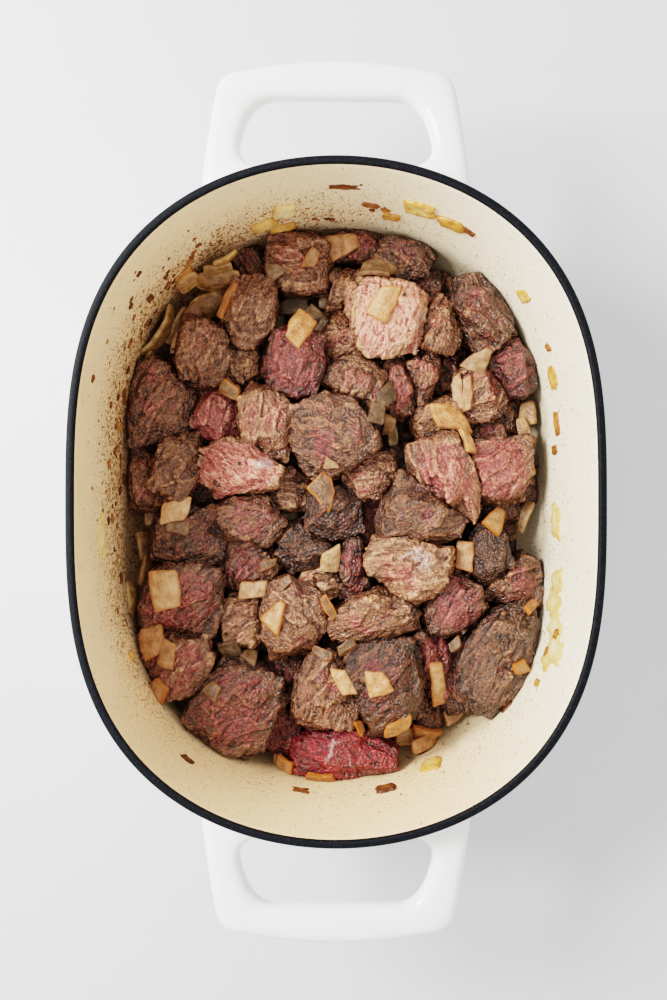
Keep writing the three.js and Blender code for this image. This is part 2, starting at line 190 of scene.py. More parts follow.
class Wire:
    # A socket of a material. Each operator adds one Math node.
    def __init__(self, tree, socket):
        self.tree = tree
        self.socket = socket

    def maths(self, operation, *values, clamp=False):
        return addNode(self.tree, "ShaderNodeMath", {"operation": operation, "use_clamp": clamp}, values)

    def __add__(self, other):
        return self.maths("ADD", self, other)

    def __sub__(self, other):
        return self.maths("SUBTRACT", self, other)

    def __rsub__(self, other):
        return self.maths("SUBTRACT", other, self)

    def __mul__(self, other):
        return self.maths("MULTIPLY", self, other)

    def __truediv__(self, other):
        return self.maths("DIVIDE", self, other)

    def __pow__(self, other):
        return self.maths("POWER", self, other)

    __radd__ = __add__
    __rmul__ = __mul__

    def clamped(self):
        return self.maths("ADD", self, 0.0, clamp=True)

    def step(self, low, high):
        # An S-curve from 0 at low to 1 at high.
        values = {"Value": self, "From Min": low, "From Max": high}
        return addNode(self.tree, "ShaderNodeMapRange", {"interpolation_type": "SMOOTHSTEP"}, values)


def addNode(tree, kind, settings=None, inputs=(), out=0):
    # Any node: its settings first, then the values or wires of its sockets by place or name.
    node = tree.nodes.new(kind)
    for name, value in (settings or {}).items():
        if name == "stops":
            ramp = node.color_ramp.elements
            while len(ramp) < len(value):
                ramp.new(1.0)
            for stop, (place, colour) in zip(ramp, value):
                stop.position = place
                stop.color = colour
        else:
            setattr(node, name, value)
    pairs = inputs.items() if isinstance(inputs, dict) else enumerate(inputs)
    for place, value in pairs:
        if isinstance(value, Wire):
            tree.links.new(value.socket, node.inputs[place])
        else:
            node.inputs[place].default_value = value
    return Wire(tree, node.outputs[out])


def srgb(red, green, blue):
    # A screen colour from 0 to 255 as the linear colour that shaders use.
    screen = np.array([red, green, blue]) / 255
    linear = np.where(screen <= 0.04045, screen / 12.92, ((screen + 0.055) / 1.055) ** 2.4)
    return (*[float(v) for v in linear], 1.0)


class Finish:
    # A material being made: its tree and the nodes that most of the finishes share.
    def __init__(self, name):
        self.material = bpy.data.materials.new(name)
        self.material.use_nodes = True
        self.tree = self.material.node_tree
        self.tree.nodes.clear()
        place = self.node("ShaderNodeTexCoord", out="Object")
        self.place = self.node("ShaderNodeVectorMath", {"operation": "SCALE"}, {0: place, "Scale": 1 / mm})

    def node(self, kind, settings=None, inputs=(), out=0):
        return addNode(self.tree, kind, settings, inputs, out)

    def field(self, name, vector=False):
        out = "Vector" if vector else "Fac"
        return self.node("ShaderNodeAttribute", {"attribute_name": name}, out=out)

    def stretch(self, vector, x, y, z):
        return self.node("ShaderNodeVectorMath", {"operation": "MULTIPLY"}, {0: vector, 1: (x, y, z)})

    def noise(self, vector, size, detail=3.0, roughness=0.55, distortion=0.0):
        # Random values about 0.5 with lumps of a size in millimetres.
        values = {"Vector": vector, "Scale": 1 / size, "Detail": detail, "Roughness": roughness,
                  "Distortion": distortion}
        return self.node("ShaderNodeTexNoise", {}, values)

    def cells(self, vector, size):
        # The distance to the nearest of scattered points that lie about a size in millimetres apart.
        return self.node("ShaderNodeTexVoronoi", {}, {"Vector": vector, "Scale": 1 / size}, out="Distance")

    def ramp(self, value, *stops):
        # Each stop is a place from 0 to 1, then its screen colour.
        stops = [(place, srgb(*colour)) for place, *colour in stops]
        return self.node("ShaderNodeValToRGB", {"stops": stops}, {"Fac": value}, out="Color")

    def mix(self, share, first, second):
        # Each of the two is a wire or a screen colour.
        first, second = (srgb(*colour) if isinstance(colour, tuple) else colour for colour in (first, second))
        return self.node("ShaderNodeMix", {"data_type": "RGBA"}, {0: share, 6: first, 7: second}, out=2)

    def bump(self, height, depth):
        # A height from 0 to 1 as a relief of some millimetres.
        return self.node("ShaderNodeBump", {}, {"Height": height, "Distance": depth * mm, "Strength": 1.0})

    def surface(self, **inputs):
        # The shader with its inputs by name, _ for a space, and the output.
        values = {name.replace("_", " "): value for name, value in inputs.items()}
        shader = self.node("ShaderNodeBsdfPrincipled", {}, values)
        output = self.tree.nodes.new("ShaderNodeOutputMaterial")
        self.tree.links.new(shader.socket, output.inputs["Surface"])
        return self.material


pot = {
    "rimHalfLength": 160.0,
    "rimWidth": 4.1,
    "lipRound": 2.2,  # how high the rounded lip is
    "bareRim": 1.75,  # how far down from the top the rim is bare and dark
    "bead": 8.6,  # how far down from the top the wall begins to widen to the rim
    "beadFull": 4.6,  # and where it is as wide as the rim
    "wallThick": 3.8,
    "floorThick": 5.0,
    "wallDraft": 5.0,  # in degrees
    "cornerRadius": 26.0,
    "columns": 288,
    "foodBite": 1.0,  # how far food that leans on the wall may reach into the enamel
}
rimHalfWidth, handleReach, potHeight = (float(v) for v in np.array(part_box("pot")[1]) / mm)
lengthExcess = pot["rimHalfLength"] - rimHalfWidth
cornerCentre = pot["floorThick"] + pot["cornerRadius"]
draftSlope = math.tan(math.radians(pot["wallDraft"]))


def innerHalfWidth(z):
    # A straight wall with draft, then a round corner down to the floor.
    z = np.asarray(z, float)
    wall = rimHalfWidth - pot["rimWidth"] - (potHeight - np.maximum(z, cornerCentre)) * draftSlope
    below = np.clip(cornerCentre - z, 0, pot["cornerRadius"])
    return wall - pot["cornerRadius"] + np.sqrt(pot["cornerRadius"] ** 2 - below ** 2)


def halfLength(halfWidth):
    flat = float(innerHalfWidth(pot["floorThick"]))
    return halfWidth + lengthExcess * np.minimum(1, halfWidth / flat)


def ovalRadius(halfWidth, angle):
    # The distance r at which (x/a)^2 + |y/b|^3 = 1 in a direction, by halving.
    a = np.maximum(np.asarray(halfWidth, float), 1e-6)
    b = halfLength(a)
    low, high = np.zeros(np.broadcast(a, angle).shape), np.ones(np.broadcast(a, angle).shape) * 400
    for step in range(40):
        middle = (low + high) / 2
        inside = (middle * np.cos(angle) / a) ** 2 + np.abs(middle * np.sin(angle) / b) ** 3 < 1
        low, high = np.where(inside, middle, low), np.where(inside, high, middle)
    return low


def ovalRings(halfWidths, heights, columns):
    # A profile carried round the oval outline.
    angle = np.linspace(0, 2 * math.pi, columns, endpoint=False)[None]
    r = ovalRadius(halfWidths[:, None], angle)
    z = np.broadcast_to(heights[:, None], r.shape)
    return np.stack([r * np.cos(angle), r * np.sin(angle), z], -1)


def insidePot(part):
    # Points of a surface that lie beyond the inner wall, or under the floor, are drawn back to it.
    x, y, z = part["points"].T
    z = np.maximum(z, pot["floorThick"] - pot["foodBite"])
    limit = ovalRadius(innerHalfWidth(z), np.arctan2(y, x)) + pot["foodBite"]
    share = np.minimum(1, limit / np.maximum(np.hypot(x, y), 1))
    part["points"] = np.stack([x * share, y * share, z], -1)
    return part


def squarer(values, power):
    # A sine or cosine raised to a power below 1 with its sign kept, which squares off a round section.
    return np.sign(values) * np.abs(values) ** power


def potProfile():
    # Half widths and heights along the underside, round foot, outer wall, bead, round lip, inner wall,
    # round corner and floor, and 1 where the surface faces the food.
    quarter = np.linspace(0, math.pi / 2, 18)
    outerFoot = float(innerHalfWidth(cornerCentre)) + pot["wallThick"]
    footX = outerFoot - cornerCentre * (1 - np.sin(quarter))
    footZ = cornerCentre * (1 - np.cos(quarter))
    underX = np.linspace(0.5, footX[0] - 1, 10)
    wallZ = np.linspace(cornerCentre + 2, potHeight - 9, 24)
    wallX = innerHalfWidth(wallZ) + pot["wallThick"]
    beadZ = np.linspace(potHeight - 8.2, potHeight - 3.4, 9)
    rise = smoothStep(potHeight - pot["bead"], potHeight - pot["beadFull"], beadZ)
    beadX = (innerHalfWidth(beadZ) + pot["wallThick"]) * (1 - rise) + rimHalfWidth * rise
    lip = np.linspace(0, math.pi, 19)
    lipHalf = pot["rimWidth"] / 2
    lipX = rimHalfWidth - lipHalf + lipHalf * squarer(np.cos(lip), 0.7)
    lipZ = potHeight - pot["lipRound"] + pot["lipRound"] * np.sin(lip) ** 0.7
    innerZ = np.linspace(potHeight - 3.2, cornerCentre, 64)
    innerX = innerHalfWidth(innerZ)
    cornerX = innerX[-1] - pot["cornerRadius"] * (1 - np.cos(quarter[1:]))
    cornerZ = cornerCentre - pot["cornerRadius"] * np.sin(quarter[1:])
    floorX = np.linspace(cornerX[-1] - 6, 0.5, 8)
    parts = [(underX, 0, 0), (footX, footZ, 0), (wallX, wallZ, 0), (beadX, beadZ, 0), (lipX, lipZ, lip > 1.6),
             (innerX, innerZ, 1), (cornerX, cornerZ, 1), (floorX, pot["floorThick"], 1)]
    return np.concatenate([np.stack([x, z + 0 * x, inward + 0 * x]) for x, z, inward in parts], 1)


# The loop handle, with its outlines in plan where X is across the pot: each curve runs from where the one
# before it ended, drawn toward a control point, to its end, in a number of steps.
handle = {
    "thick": 14.0,
    "top": 101.0,
    "root": 66.0,  # half its width where it leaves the wall
    "wallHeight": 94.0,  # the height at which it meets the wall
    "barWidth": 18.0,
    "squareness": 0.72,  # 1 for a round section
    "around": 28,
    "outerCurves": [((63, 168), (57.8, handleReach - 15), 24),
                    ((56, handleReach - 6), (47, handleReach - 5), 14),
                    ((23, handleReach), (0, handleReach), 20)],
    "gapStart": (0, 160.5),
    "gapCurves": [((16, 160.5), (32, 160.5), 14), ((47, 160.5), (46, 171), 14),
                  ((42, handleReach - 18), (28, handleReach - 18), 24),
                  ((14, handleReach - 18), (0, handleReach - 18), 20)],
}


def curveChain(start, curves):
    # Quadratic curves end to end, without the last point.
    points = []
    for control, end, count in curves:
        t = np.linspace(0, 1, count, endpoint=False)[:, None]
        points.append((1 - t) ** 2 * np.array(start) + 2 * t * (1 - t) * np.array(control)
                      + t * t * np.array(end))
        start = end
    return np.concatenate(points)


def mirroredLoop(half, middle):
    # A closed outline from its right half and its middle point.
    return np.concatenate([half, [middle], (half * (-1, 1))[:0:-1]])


def handlePart(side):
    # A section carried round the finger gap. Its inner edge is the gap's outline and its outer edge the
    # loop's; toward the pot the outer edge runs inside the wall.
    wallMid = float(innerHalfWidth(handle["wallHeight"])) + pot["wallThick"] / 2
    nearX = np.linspace(0, handle["root"], 15)
    near = np.stack([nearX, (1 - (nearX / wallMid) ** 2) ** (1 / 3) * halfLength(wallMid)], -1)
    outer = np.concatenate([near[:-1], curveChain(near[-1], handle["outerCurves"])])
    outer = mirroredLoop(outer, (0, handleReach))
    inner = curveChain(handle["gapStart"], handle["gapCurves"])
    inner = mirroredLoop(inner, (0, handleReach - handle["barWidth"]))
    t = np.linspace(0, 2 * math.pi, handle["around"], endpoint=False)
    across, up = squarer(np.cos(t), handle["squareness"]), squarer(np.sin(t), handle["squareness"])
    middle, half = (outer + inner) / 2, (outer - inner) / 2
    xy = middle[:, None] + half[:, None] * across[None, :, None]
    z = handle["top"] - handle["thick"] / 2 * (1 - up) + np.zeros(xy.shape[:2])
    return loopedRings(np.concatenate([xy * side, z[..., None]], -1))


def loopedRings(rings):
    # A closed surface of rings whose last ring meets the first.
    count, around = rings.shape[:2]
    i, j = np.meshgrid(np.arange(count), np.arange(around), indexing="ij")
    nextRing, nextPoint = (i + 1) % count * around, (j + 1) % around
    i = i * around
    quads = np.stack([i + j, i + nextPoint, nextRing + nextPoint, nextRing + j], -1).reshape(-1, 4)
    points = rings.reshape(-1, 3)
    faces = facedOutward(points, quads, np.zeros((0, 3), int))
    return {"points": points, "faces": faces, "fields": {"inward": np.zeros(len(points))}}


def enamelFinish():
    # White outside. Inside cream, painted darker and warmer on the left as shade on the wall that faces away
    # from the window, and warmer at the front, with a brown film, partly residue and partly painted warm
    # shade on the left, flecks, specks and freckles, densest near the food at the upper left, and painted
    # shade, partly fond, low on the wall among the food.
    f = Finish("enamel")
    xyz = f.node("ShaderNodeSeparateXYZ", {}, {0: f.place})
    x, y, z = (Wire(f.tree, xyz.socket.node.outputs[i]) for i in range(3))
    inward = f.field("inward")
    cloud = f.noise(f.place, 40, 2)
    patches = f.noise(f.place, 16, 4, 0.6)
    leftShade = 1 - x.step(-125, 115)
    front = 1 - y.step(-165, -70)
    stained = (y * 0.4 - x).step(5, 130)
    nearFood = 1 - (z + (patches - 0.5) * 44).step(42, 98)
    # Painted shade low on the wall where it runs down among the food, as a darker brown that is partly fond.
    low = 1 - (z + (patches - 0.5) * 26).step(26, 47)
    # Painted shade: the cream is darker and warmer on the left, the wall that faces away from the window, and
    # warmer at the front.
    warmShade = (leftShade * 0.85 + front * 0.95 + (cloud - 0.5) * 0.4).clamped()
    cream = f.mix(warmShade, (255, 244, 216), (255, 222, 176))
    # A brown film near the food, partly residue and partly painted warm shade on the left wall.
    filmAndShade = (nearFood * (0.22 + stained * 0.6) * (0.2 + patches * 1.2)).clamped()
    cream = f.mix(filmAndShade * 0.34, cream, (220, 160, 92))
    amount = (nearFood * (0.14 + stained * 0.86)) ** 0.75
    along = f.stretch(f.place, 1, 1, 0.7)
    fleck = (f.noise(along, 2.0, 4, 0.65) + amount * 0.17 - 0.67).step(0.0, 0.03)
    speck = (f.noise(along, 1.0, 2, 0.6) + amount * 0.19 - 0.66).step(0.0, 0.03)
    freckle = (1 - f.cells(f.place, 5.5).step(0.1, 0.16)) * (nearFood * 0.7 + 0.12)
    cream = f.mix(speck * 0.75, cream, (186, 128, 66))
    cream = f.mix(fleck * 0.8, cream, (154, 98, 50))
    cream = f.mix(freckle * 0.6, cream, (160, 104, 56))
    # Painted shade, partly fond, low on the wall among the food.
    cream = f.mix(low * 0.5, cream, (120, 84, 50))
    white = f.mix(cloud, (238, 237, 234), (244, 243, 240))
    colour = f.mix(inward, white, cream)
    stuck = (fleck * 0.8 + speck * 0.4) * inward
    return f.surface(Base_Color=colour, Roughness=(0.18 + stuck * 0.4).clamped(), Normal=f.bump(stuck, 0.4),
                     IOR=1.5)


def rimFinish():
    # The bare rim: nearly black, a little grainy, with a dull shine.
    f = Finish("bareRim")
    grain = f.noise(f.place, 0.9, 3, 0.7)
    colour = f.mix(grain.step(0.5, 0.8), (8, 10, 15), (44, 49, 58))
    return f.surface(Base_Color=colour, Roughness=(0.35 + grain * 0.3).clamped(), Normal=f.bump(grain, 0.3),
                     IOR=1.28)


def rimFaces(mesh):
    # 1 for each face on the lip above the bead, and 0 for the others.
    middles = np.zeros(len(mesh.polygons) * 3)
    mesh.polygons.foreach_get("center", middles)
    return (middles[2::3] > (potHeight - pot["bareRim"]) * mm).astype(np.int32)


print("pot")
enamel = enamelFinish()
halfWidths, heights, inward = potProfile()
potBody = closedRings(ovalRings(halfWidths, heights, pot["columns"]), inward=inward[:, None])
potShell = makePiece("potShell", joined([potBody, handlePart(1), handlePart(-1)]), enamel, ["pot"])
potShell.data.materials.append(rimFinish())
potShell.data.polygons.foreach_set("material_index", rimFaces(potShell.data))


meat = {
    "spacing": 0.72,  # of the grid on a piece's upper side
    "topShare": 0.8,  # of the grid's columns, on the upper side
    "topAngle": 0.12,  # how far the upper side reaches past level, in half turns
    "blockPower": 7,  # how square a loose block is
    "sharpen": 0.5,  # how far edges and corners are pushed out
    "dome": 3.5,  # how far the upper side falls toward its rim
    "swell": 0.5,  # how far the whole surface is pushed out
    # How high each kind of relief is, and how large one of its forms.
    "lumps": 0.6, "lumpSize": 14,
    "folds": 0.9, "foldSize": 8,
    "ledges": 0.9, "ledgeSize": 8,
    "ridges": 0.32, "ridgeSize": 2.1,
    "crumbs": 0.9, "crumbSize": 2.9,
    "grit": 0.75, "gritSize": 1.7,
    "ceiling": 1.6,  # above this the relief is pressed down
    "pitDepth": 0.55,
}

# How each piece looks, by its node's number: raw from 0, seared, to 1, red; then its lightness from -1, dark,
# to 1, which is the piece's own tone together with painted light and shade for how brightly it is lit; and
# the direction of its fibres in plan, in degrees from +X, or None for along the piece.
meatLooks = {
    1: (0.15, 1.0, None), 2: (0.0, 0.9, 70), 3: (0.1, 1.5, None), 4: (0.2, 0.7, 80), 5: (0.2, 0.4, 60),
    6: (0.9, 0.0, 80), 7: (0.9, 0.8, 90), 8: (0.35, 1.2, 75), 9: (0.2, 0.2, -12), 10: (0.3, 0.8, 20),
    11: (-0.1, 0.9, 60), 12: (0.2, -0.1, -25), 13: (0.75, 2.4, 75), 14: (0.25, 0.7, 60), 15: (0.25, 0.0, -50),
    16: (0.95, -0.4, 30), 17: (0.2, 0.4, 60), 18: (0.55, 0.4, 80), 19: (0.25, 0.4, 70), 20: (0.2, 0.9, 40),
    21: (-0.2, 0.8, 10), 22: (0.55, 1.2, -68), 23: (0.75, 0.8, 30), 24: (0.15, 0.1, 20), 25: (0.2, 1.0, 0),
    26: (0.25, -0.7, 40), 27: (-0.1, 1.1, 0), 28: (0.75, 1.5, -30), 29: (-0.2, 0.7, 65), 30: (0.2, 0.8, 80),
    31: (0.35, 0.3, 20), 32: (0.15, -0.2, 30), 33: (0.35, 0.0, 60), 34: (0.05, -0.6, 40), 35: (0.25, 2.0, 0),
    36: (0.55, -0.3, 75), 37: (0.2, 1.4, 15), 38: (0.5, 0.3, 50), 39: (0.2, 0.9, 30), 40: (0.2, 0.8, -35),
    41: (0.15, 0.9, 18), 42: (0.6, -0.1, 60), 43: (0.2, -0.8, 80), 44: (0.3, 0.1, 20), 45: (0.1, -0.3, 60),
    46: (0.95, 0.2, 80), 47: (0.3, -0.5, 50), 48: (0.4, 0.8, 60), 49: (0.45, 0.1, 40), 50: (0.15, 0.5, 70),
    51: (1.6, -0.7, -20),
}

# Smaller pieces in the gaps, each x, y, width, length, height, turn, raw and lightness, the last their tone
# together with painted light and shade.
lowMeat = [
    (-47, 130, 15, 21, 24, 30, 0.2, -0.2), (13, 139, 25, 18, 26, -6, 0.6, 0.0),
    (48, 117, 21, 20, 24, 0, 0.1, -0.5), (61, 70, 15, 22, 22, 10, 0.1, -0.6),
    (92, 47, 18, 18, 22, 0, 0.3, -0.4), (91, -4, 22, 17, 22, 10, 0.1, -0.5),
    (103, 11, 15, 24, 22, 0, 0.1, -0.4), (84, 37, 22, 18, 24, 20, 0.3, -0.2),
    (20, -9, 20, 30, 24, -14, 0.3, -0.4), (33, 22, 26, 18, 22, 8, 0.1, -0.6),
    (-72, 8, 17, 22, 22, -10, 0.0, -0.6), (65, -96, 18, 40, 24, 12, 0.3, -0.4),
    (41, -111, 20, 17, 20, 10, 0.4, -0.3), (-28, -92, 19, 21, 22, 30, 0.5, -0.4),
    (-31, -126, 23, 24, 24, -20, 0.7, -0.4), (1, -82, 20, 17, 20, 0, 0.1, -0.5),
    (51, -120, 13, 18, 18, 0, 0.2, -0.3), (-62, -82, 20, 20, 18, 20, 0.2, -0.5),
]

# Fat and silver skin on top of the meat, each x, y, length, width, turn and strength.
sinews = [
    (46, -31, 13, 9, -25, 0.4), (39, -27, 15, 1.4, 20, 0.9), (-3, -133, 16, 1.8, 72, 1.0),
    (8, -139, 9, 1.2, 110, 0.7), (-38, 20, 12, 5, 15, 0.6), (44, 96, 12, 4, 70, 0.35),
    (-2, -129, 12, 1.0, 10, 0.7),
]


def sinewAt(points):
    # 1 within each streak, an ellipse in plan with a wandering outline, and 0 outside.
    total = np.zeros(points.shape[:-1])
    for x, y, length, width, turn, strength in sinews:
        u, v = np.moveaxis(turned(points - (x, y, 0), -turn), -1, 0)[:2]
        v = v + 1.2 * noise(points, 5, 77)
        reach = (2 * u / length) ** 2 + (2 * v / width) ** 2 + 0.8 * noise(points, 2.5, 78)
        total = np.maximum(total, strength * smoothStep(1.2, 0.6, reach))
    return total


def nodeTriangles(name):
    # A node's triangles in millimetres, count x 3 corners x 3.
    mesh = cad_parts[name].data
    mesh.calc_loop_triangles()
    points = np.zeros(len(mesh.vertices) * 3)
    mesh.vertices.foreach_get("co", points)
    corners = np.zeros(len(mesh.loop_triangles) * 3, np.int64)
    mesh.loop_triangles.foreach_get("vertices", corners)
    return points.reshape(-1, 3)[corners].reshape(-1, 3, 3) / mm


def reachInSolid(triangles, centre, directions):
    # How far the solid reaches from its middle in each direction: the direction is a sum of a
    # triangle's three corners with no share below zero, and one over the sum of shares is the reach.
    shares = np.einsum("tji,nj->nti", np.linalg.inv(np.swapaxes(triangles - centre, 1, 2)).swapaxes(1, 2),
                       directions)
    best = shares.min(-1).argmax(1)
    return 1 / shares[np.arange(len(directions)), best].sum(-1)


def reachInBlock(half, directions):
    # The same for a block with soft edges: the high-power mean of the distances to its sides.
    power = meat["blockPower"]
    return (np.abs(directions / half) ** power).sum(-1) ** (-1 / power)


def meatGrid(half, longAngle, spacing):
    # Directions on a grid with its poles at the ends of the piece's long axis, denser on top.
    past = meat["topAngle"]
    upperGirth = (1 + 2 * past) * math.pi * (half[1] + half[2]) / 2
    around = int(upperGirth / spacing / meat["topShare"])
    count = int(math.pi * half[0] / spacing)
    turn = np.interp(np.linspace(0, 1, around, endpoint=False), [0, meat["topShare"], 1],
                     [-past * math.pi, (1 + past) * math.pi, (2 - past) * math.pi])
    along = np.linspace(0.04, math.pi - 0.04, count)[:, None]
    x = half[0] * np.cos(along) + 0 * turn
    y = half[1] * np.sin(along) * np.cos(turn)
    z = half[2] * np.sin(along) * np.sin(turn)
    return turned(unit(np.stack([x, y, z], -1)), longAngle)


def fibreFrame(points, fibreAngle, seed):
    # Coordinates with X along the fibres, which dip a little into the piece and bend as they run.
    random = np.random.default_rng(seed)
    pitch, roll = np.radians(random.uniform(-25, 25, 2))
    x, y, z = np.moveaxis(turned(points, -fibreAngle), -1, 0)
    x, z = math.cos(pitch) * x + math.sin(pitch) * z, math.cos(pitch) * z - math.sin(pitch) * x
    y, z = math.cos(roll) * y + math.sin(roll) * z, math.cos(roll) * z - math.sin(roll) * y
    bend = noise(points, 13, seed + 30)
    return np.stack([x, y + 1.8 * bend, z + 0.9 * noise(points, 10, seed + 31)], -1)


def dressedMeat(rings, centre, raw, light, fibreAngle, seed):
    # The relief of cut and seared muscle, along the normal: soft lumps, folds between bundles of fibres,
    # ledges where layers have torn, fine ridges along the fibres, and crumbs and grit of crust, most of
    # all along the edges.
    smooth = relaxed(rings, 2)
    broad = relaxed(rings, 50)
    smooth = smooth + meat["sharpen"] * (smooth - broad)
    reach = np.abs(smooth - centre).max((0, 1))
    spread = np.linalg.norm(((smooth - centre) / reach)[..., :2], axis=-1)
    upper = np.clip((smooth[..., 2] - centre[2]) / reach[2], 0, 1)
    fall = meat["dome"] * smoothStep(0.35, 1.1, spread) * upper
    smooth = smooth - np.stack([0 * fall, 0 * fall, fall], -1)
    normals = ringNormals(smooth)
    facing = ringNormals(broad)[..., 2]
    edge = np.clip(((smooth - broad) * normals).sum(-1) / 1.2, -1, 1)
    fibre = fibreFrame(smooth - centre, fibreAngle, seed)
    lumps = noise(smooth, meat["lumpSize"], seed) + 0.6 * noise(smooth, 6, seed + 1)
    folds = np.clip(1 - 3.4 * np.abs(noise(fibre * (0.3, 1, 1), meat["foldSize"], seed + 2)), 0, 1) ** 1.5
    folds = folds * smoothStep(-0.3, 0.3, noise(smooth, 11, seed + 3))
    ledges = smoothStep(-0.05, 0.05, noise(fibre * (0.5, 1, 1), meat["ledgeSize"], seed + 4)) - 0.5
    ridges = 1 - 2.2 * np.abs(noise(fibre * (0.14, 1, 1), meat["ridgeSize"], seed + 5))
    ribbed = smoothStep(0.0, 0.3, noise(smooth, 15, seed + 13))
    crusty = smoothStep(-0.2, 0.6, noise(smooth, 8, seed + 8) + 0.1 - 0.4 * raw + 0.5 * edge)
    crumbs = 0.5 - pebbles(smooth + 0.9 * lumps[..., None], meat["crumbSize"], seed + 6)
    grit = 0.5 - pebbles(smooth + 0.5 * ridges[..., None], meat["gritSize"], seed + 7)
    relief = (meat["lumps"] * lumps - meat["folds"] * folds + meat["ledges"] * ledges
              + meat["ridges"] * ridges * (0.3 + 1.2 * ribbed) + meat["crumbs"] * crumbs * (0.15 + crusty)
              + meat["grit"] * grit * (0.35 + 0.65 * crusty) + meat["swell"])
    relief = np.minimum(relief, meat["ceiling"] + 0.35 * (relief - meat["ceiling"]))
    # Painted shade where the relief sinks below its smoothed self, in pits and creases, and painted light
    # where it stands above it, on crumb tops.
    pit = (relaxed(relief, 10) - relief) / meat["pitDepth"]
    rawness = 1.8 * raw - 0.1 - 0.9 * smoothStep(0.4, 1.0, spread) - 0.5 * (1 - facing)
    rawness = rawness + 0.7 * noise(smooth, 10, seed + 9) + 0.5 * noise(smooth, 3.5, seed + 12) - 0.2 * edge
    fields = {
        "fibre": fibre,
        "sinew": sinewAt(smooth) * smoothStep(0.2, 0.5, facing),
        "raw": smoothStep(0.05, 0.8, rawness) * max(1.0, raw),
        "crust": crusty * smoothStep(-0.3, 0.5, noise(smooth, 5, seed + 10) + 0.35 * edge),
        "pit": np.clip(pit, -1, 0.7),
        # Painted light and shade: the piece's own value, with upper faces painted lighter and sides darker,
        # edges a little lighter, and a wander of tone.
        "light": light + 0.4 * noise(smooth, 12, seed + 11) + 1.1 * (facing - 0.75) + 0.15 * edge,
    }
    return insidePot(closedRings(smooth + normals * relief[..., None], **fields))


def longAxis(points):
    # The direction in plan along which points spread most, and half their spreads.
    flat = points[:, :2] - points[:, :2].mean(0)
    vectors = np.linalg.eigh(flat.T @ flat)[1]
    angle = math.degrees(math.atan2(vectors[1, 1], vectors[0, 1]))
    local = turned(points - points.mean(0), -angle)
    return angle, (local.max(0) - local.min(0)) / 2


def topMeat(number):
    triangles = nodeTriangles(f"meat_{number:02d}")
    corners = triangles.reshape(-1, 3)
    centre = (corners.max(0) + corners.min(0)) / 2
    angle, half = longAxis(corners)
    directions = meatGrid(half, angle, meat["spacing"])
    reach = reachInSolid(triangles, centre, directions.reshape(-1, 3)).reshape(directions.shape[:2])
    raw, light, fibreAngle = meatLooks[number]
    fibreAngle = angle if fibreAngle is None else fibreAngle
    return dressedMeat(centre + directions * reach[..., None], centre, raw, light, fibreAngle, number)


def looseMeat(centre, half, turn, raw, light, spacing, seed):
    # A block with soft edges, dressed as meat, its first half size along its turn.
    local = meatGrid(half, 0, spacing)
    rings = centre + turned(local * reachInBlock(half, local)[..., None], turn)
    return dressedMeat(rings, centre, raw, light, turn, seed)


def gapMeat(index, juiceLevel):
    x, y, width, length, height, turn, raw, light = lowMeat[index]
    centre = np.array([x, y, juiceLevel - 2 + height / 2])
    return looseMeat(centre, np.array([length, width, height]) / 2, turn + 90, raw, light, meat["spacing"],
                     200 + index)


def meatFinish():
    # Browned muscle: streaks along the fibres, red where raw, golden where crusted, dark in the pits as
    # painted shade, light on the crumbs partly as painted light, and each piece lighter or darker by its tone
    # together with painted light and shade, upper faces painted lighter. Its gloss runs over low swells, so
    # that it shines as if wet.
    f = Finish("brownedMeat")
    fibre = f.field("fibre", vector=True)
    raw, crust, pit, light, sinew = (f.field(name) for name in ("raw", "crust", "pit", "light", "sinew"))
    streak = f.noise(f.stretch(fibre, 0.14, 1, 1), 1.2, 4, 0.65, 0.4)
    grain = f.noise(f.place, 0.7, 3, 0.7)
    blotch = f.noise(f.place, 4.0, 4, 0.65)
    bead = 1 - f.cells(f.place, 1.5)
    swell = f.noise(f.stretch(fibre, 0.5, 1, 1), 1.5, 1)
    tone = (streak - 0.5) * 0.85 + (grain - 0.5) * 0.9 + (blotch - 0.5) * 0.6
    # Painted shade in the pits and painted light on the crumb tops; the beads are lighter at their middles,
    # partly the tan of the granules and partly painted light on their tops.
    tone = tone - pit * 0.36 + (bead - 0.55) * 0.25
    # Each piece's tone together with its painted light and shade.
    tone = (0.345 + tone + light * 0.24).clamped()
    brown = f.ramp(tone, (0.0, 30, 15, 9), (0.25, 72, 42, 29), (0.5, 111, 71, 50),
                   (0.75, 149, 102, 75), (1.0, 203, 156, 122))
    red = f.ramp(tone, (0.0, 46, 11, 14), (0.25, 88, 28, 32), (0.5, 131, 50, 54),
                 (0.75, 172, 82, 79), (1.0, 218, 154, 134))
    gold = f.ramp(tone, (0.0, 34, 17, 9), (0.3, 80, 47, 26), (0.6, 132, 86, 46),
                  (1.0, 214, 164, 106))
    colour = f.mix((raw * 0.7).clamped(), brown, red)
    fresh = f.ramp(tone, (0.0, 84, 8, 18), (0.5, 172, 34, 46), (1.0, 236, 136, 124))
    colour = f.mix((raw - 1).clamped(), colour, fresh)
    colour = f.mix((crust * (0.1 + blotch) * (1 - raw * 0.4)).clamped() * 0.7, colour, gold)
    colour = f.mix(sinew, colour, f.mix(tone, (140, 108, 116), (222, 192, 182)))
    height = swell * 0.6 + streak * 0.3 + grain * 0.3 + bead * 0.55
    rough = (0.1 + (blotch - 0.5) * 0.5).clamped()
    return f.surface(Base_Color=colour, Roughness=rough, Normal=f.bump(height, 1.7), IOR=1.6,
                     Specular_IOR_Level=0.66, Specular_Tint=(1.0, 0.93, 0.87, 1.0), Subsurface_Weight=0.04,
                     Subsurface_Radius=(1.0, 0.3, 0.15), Subsurface_Scale=1.5 * mm)


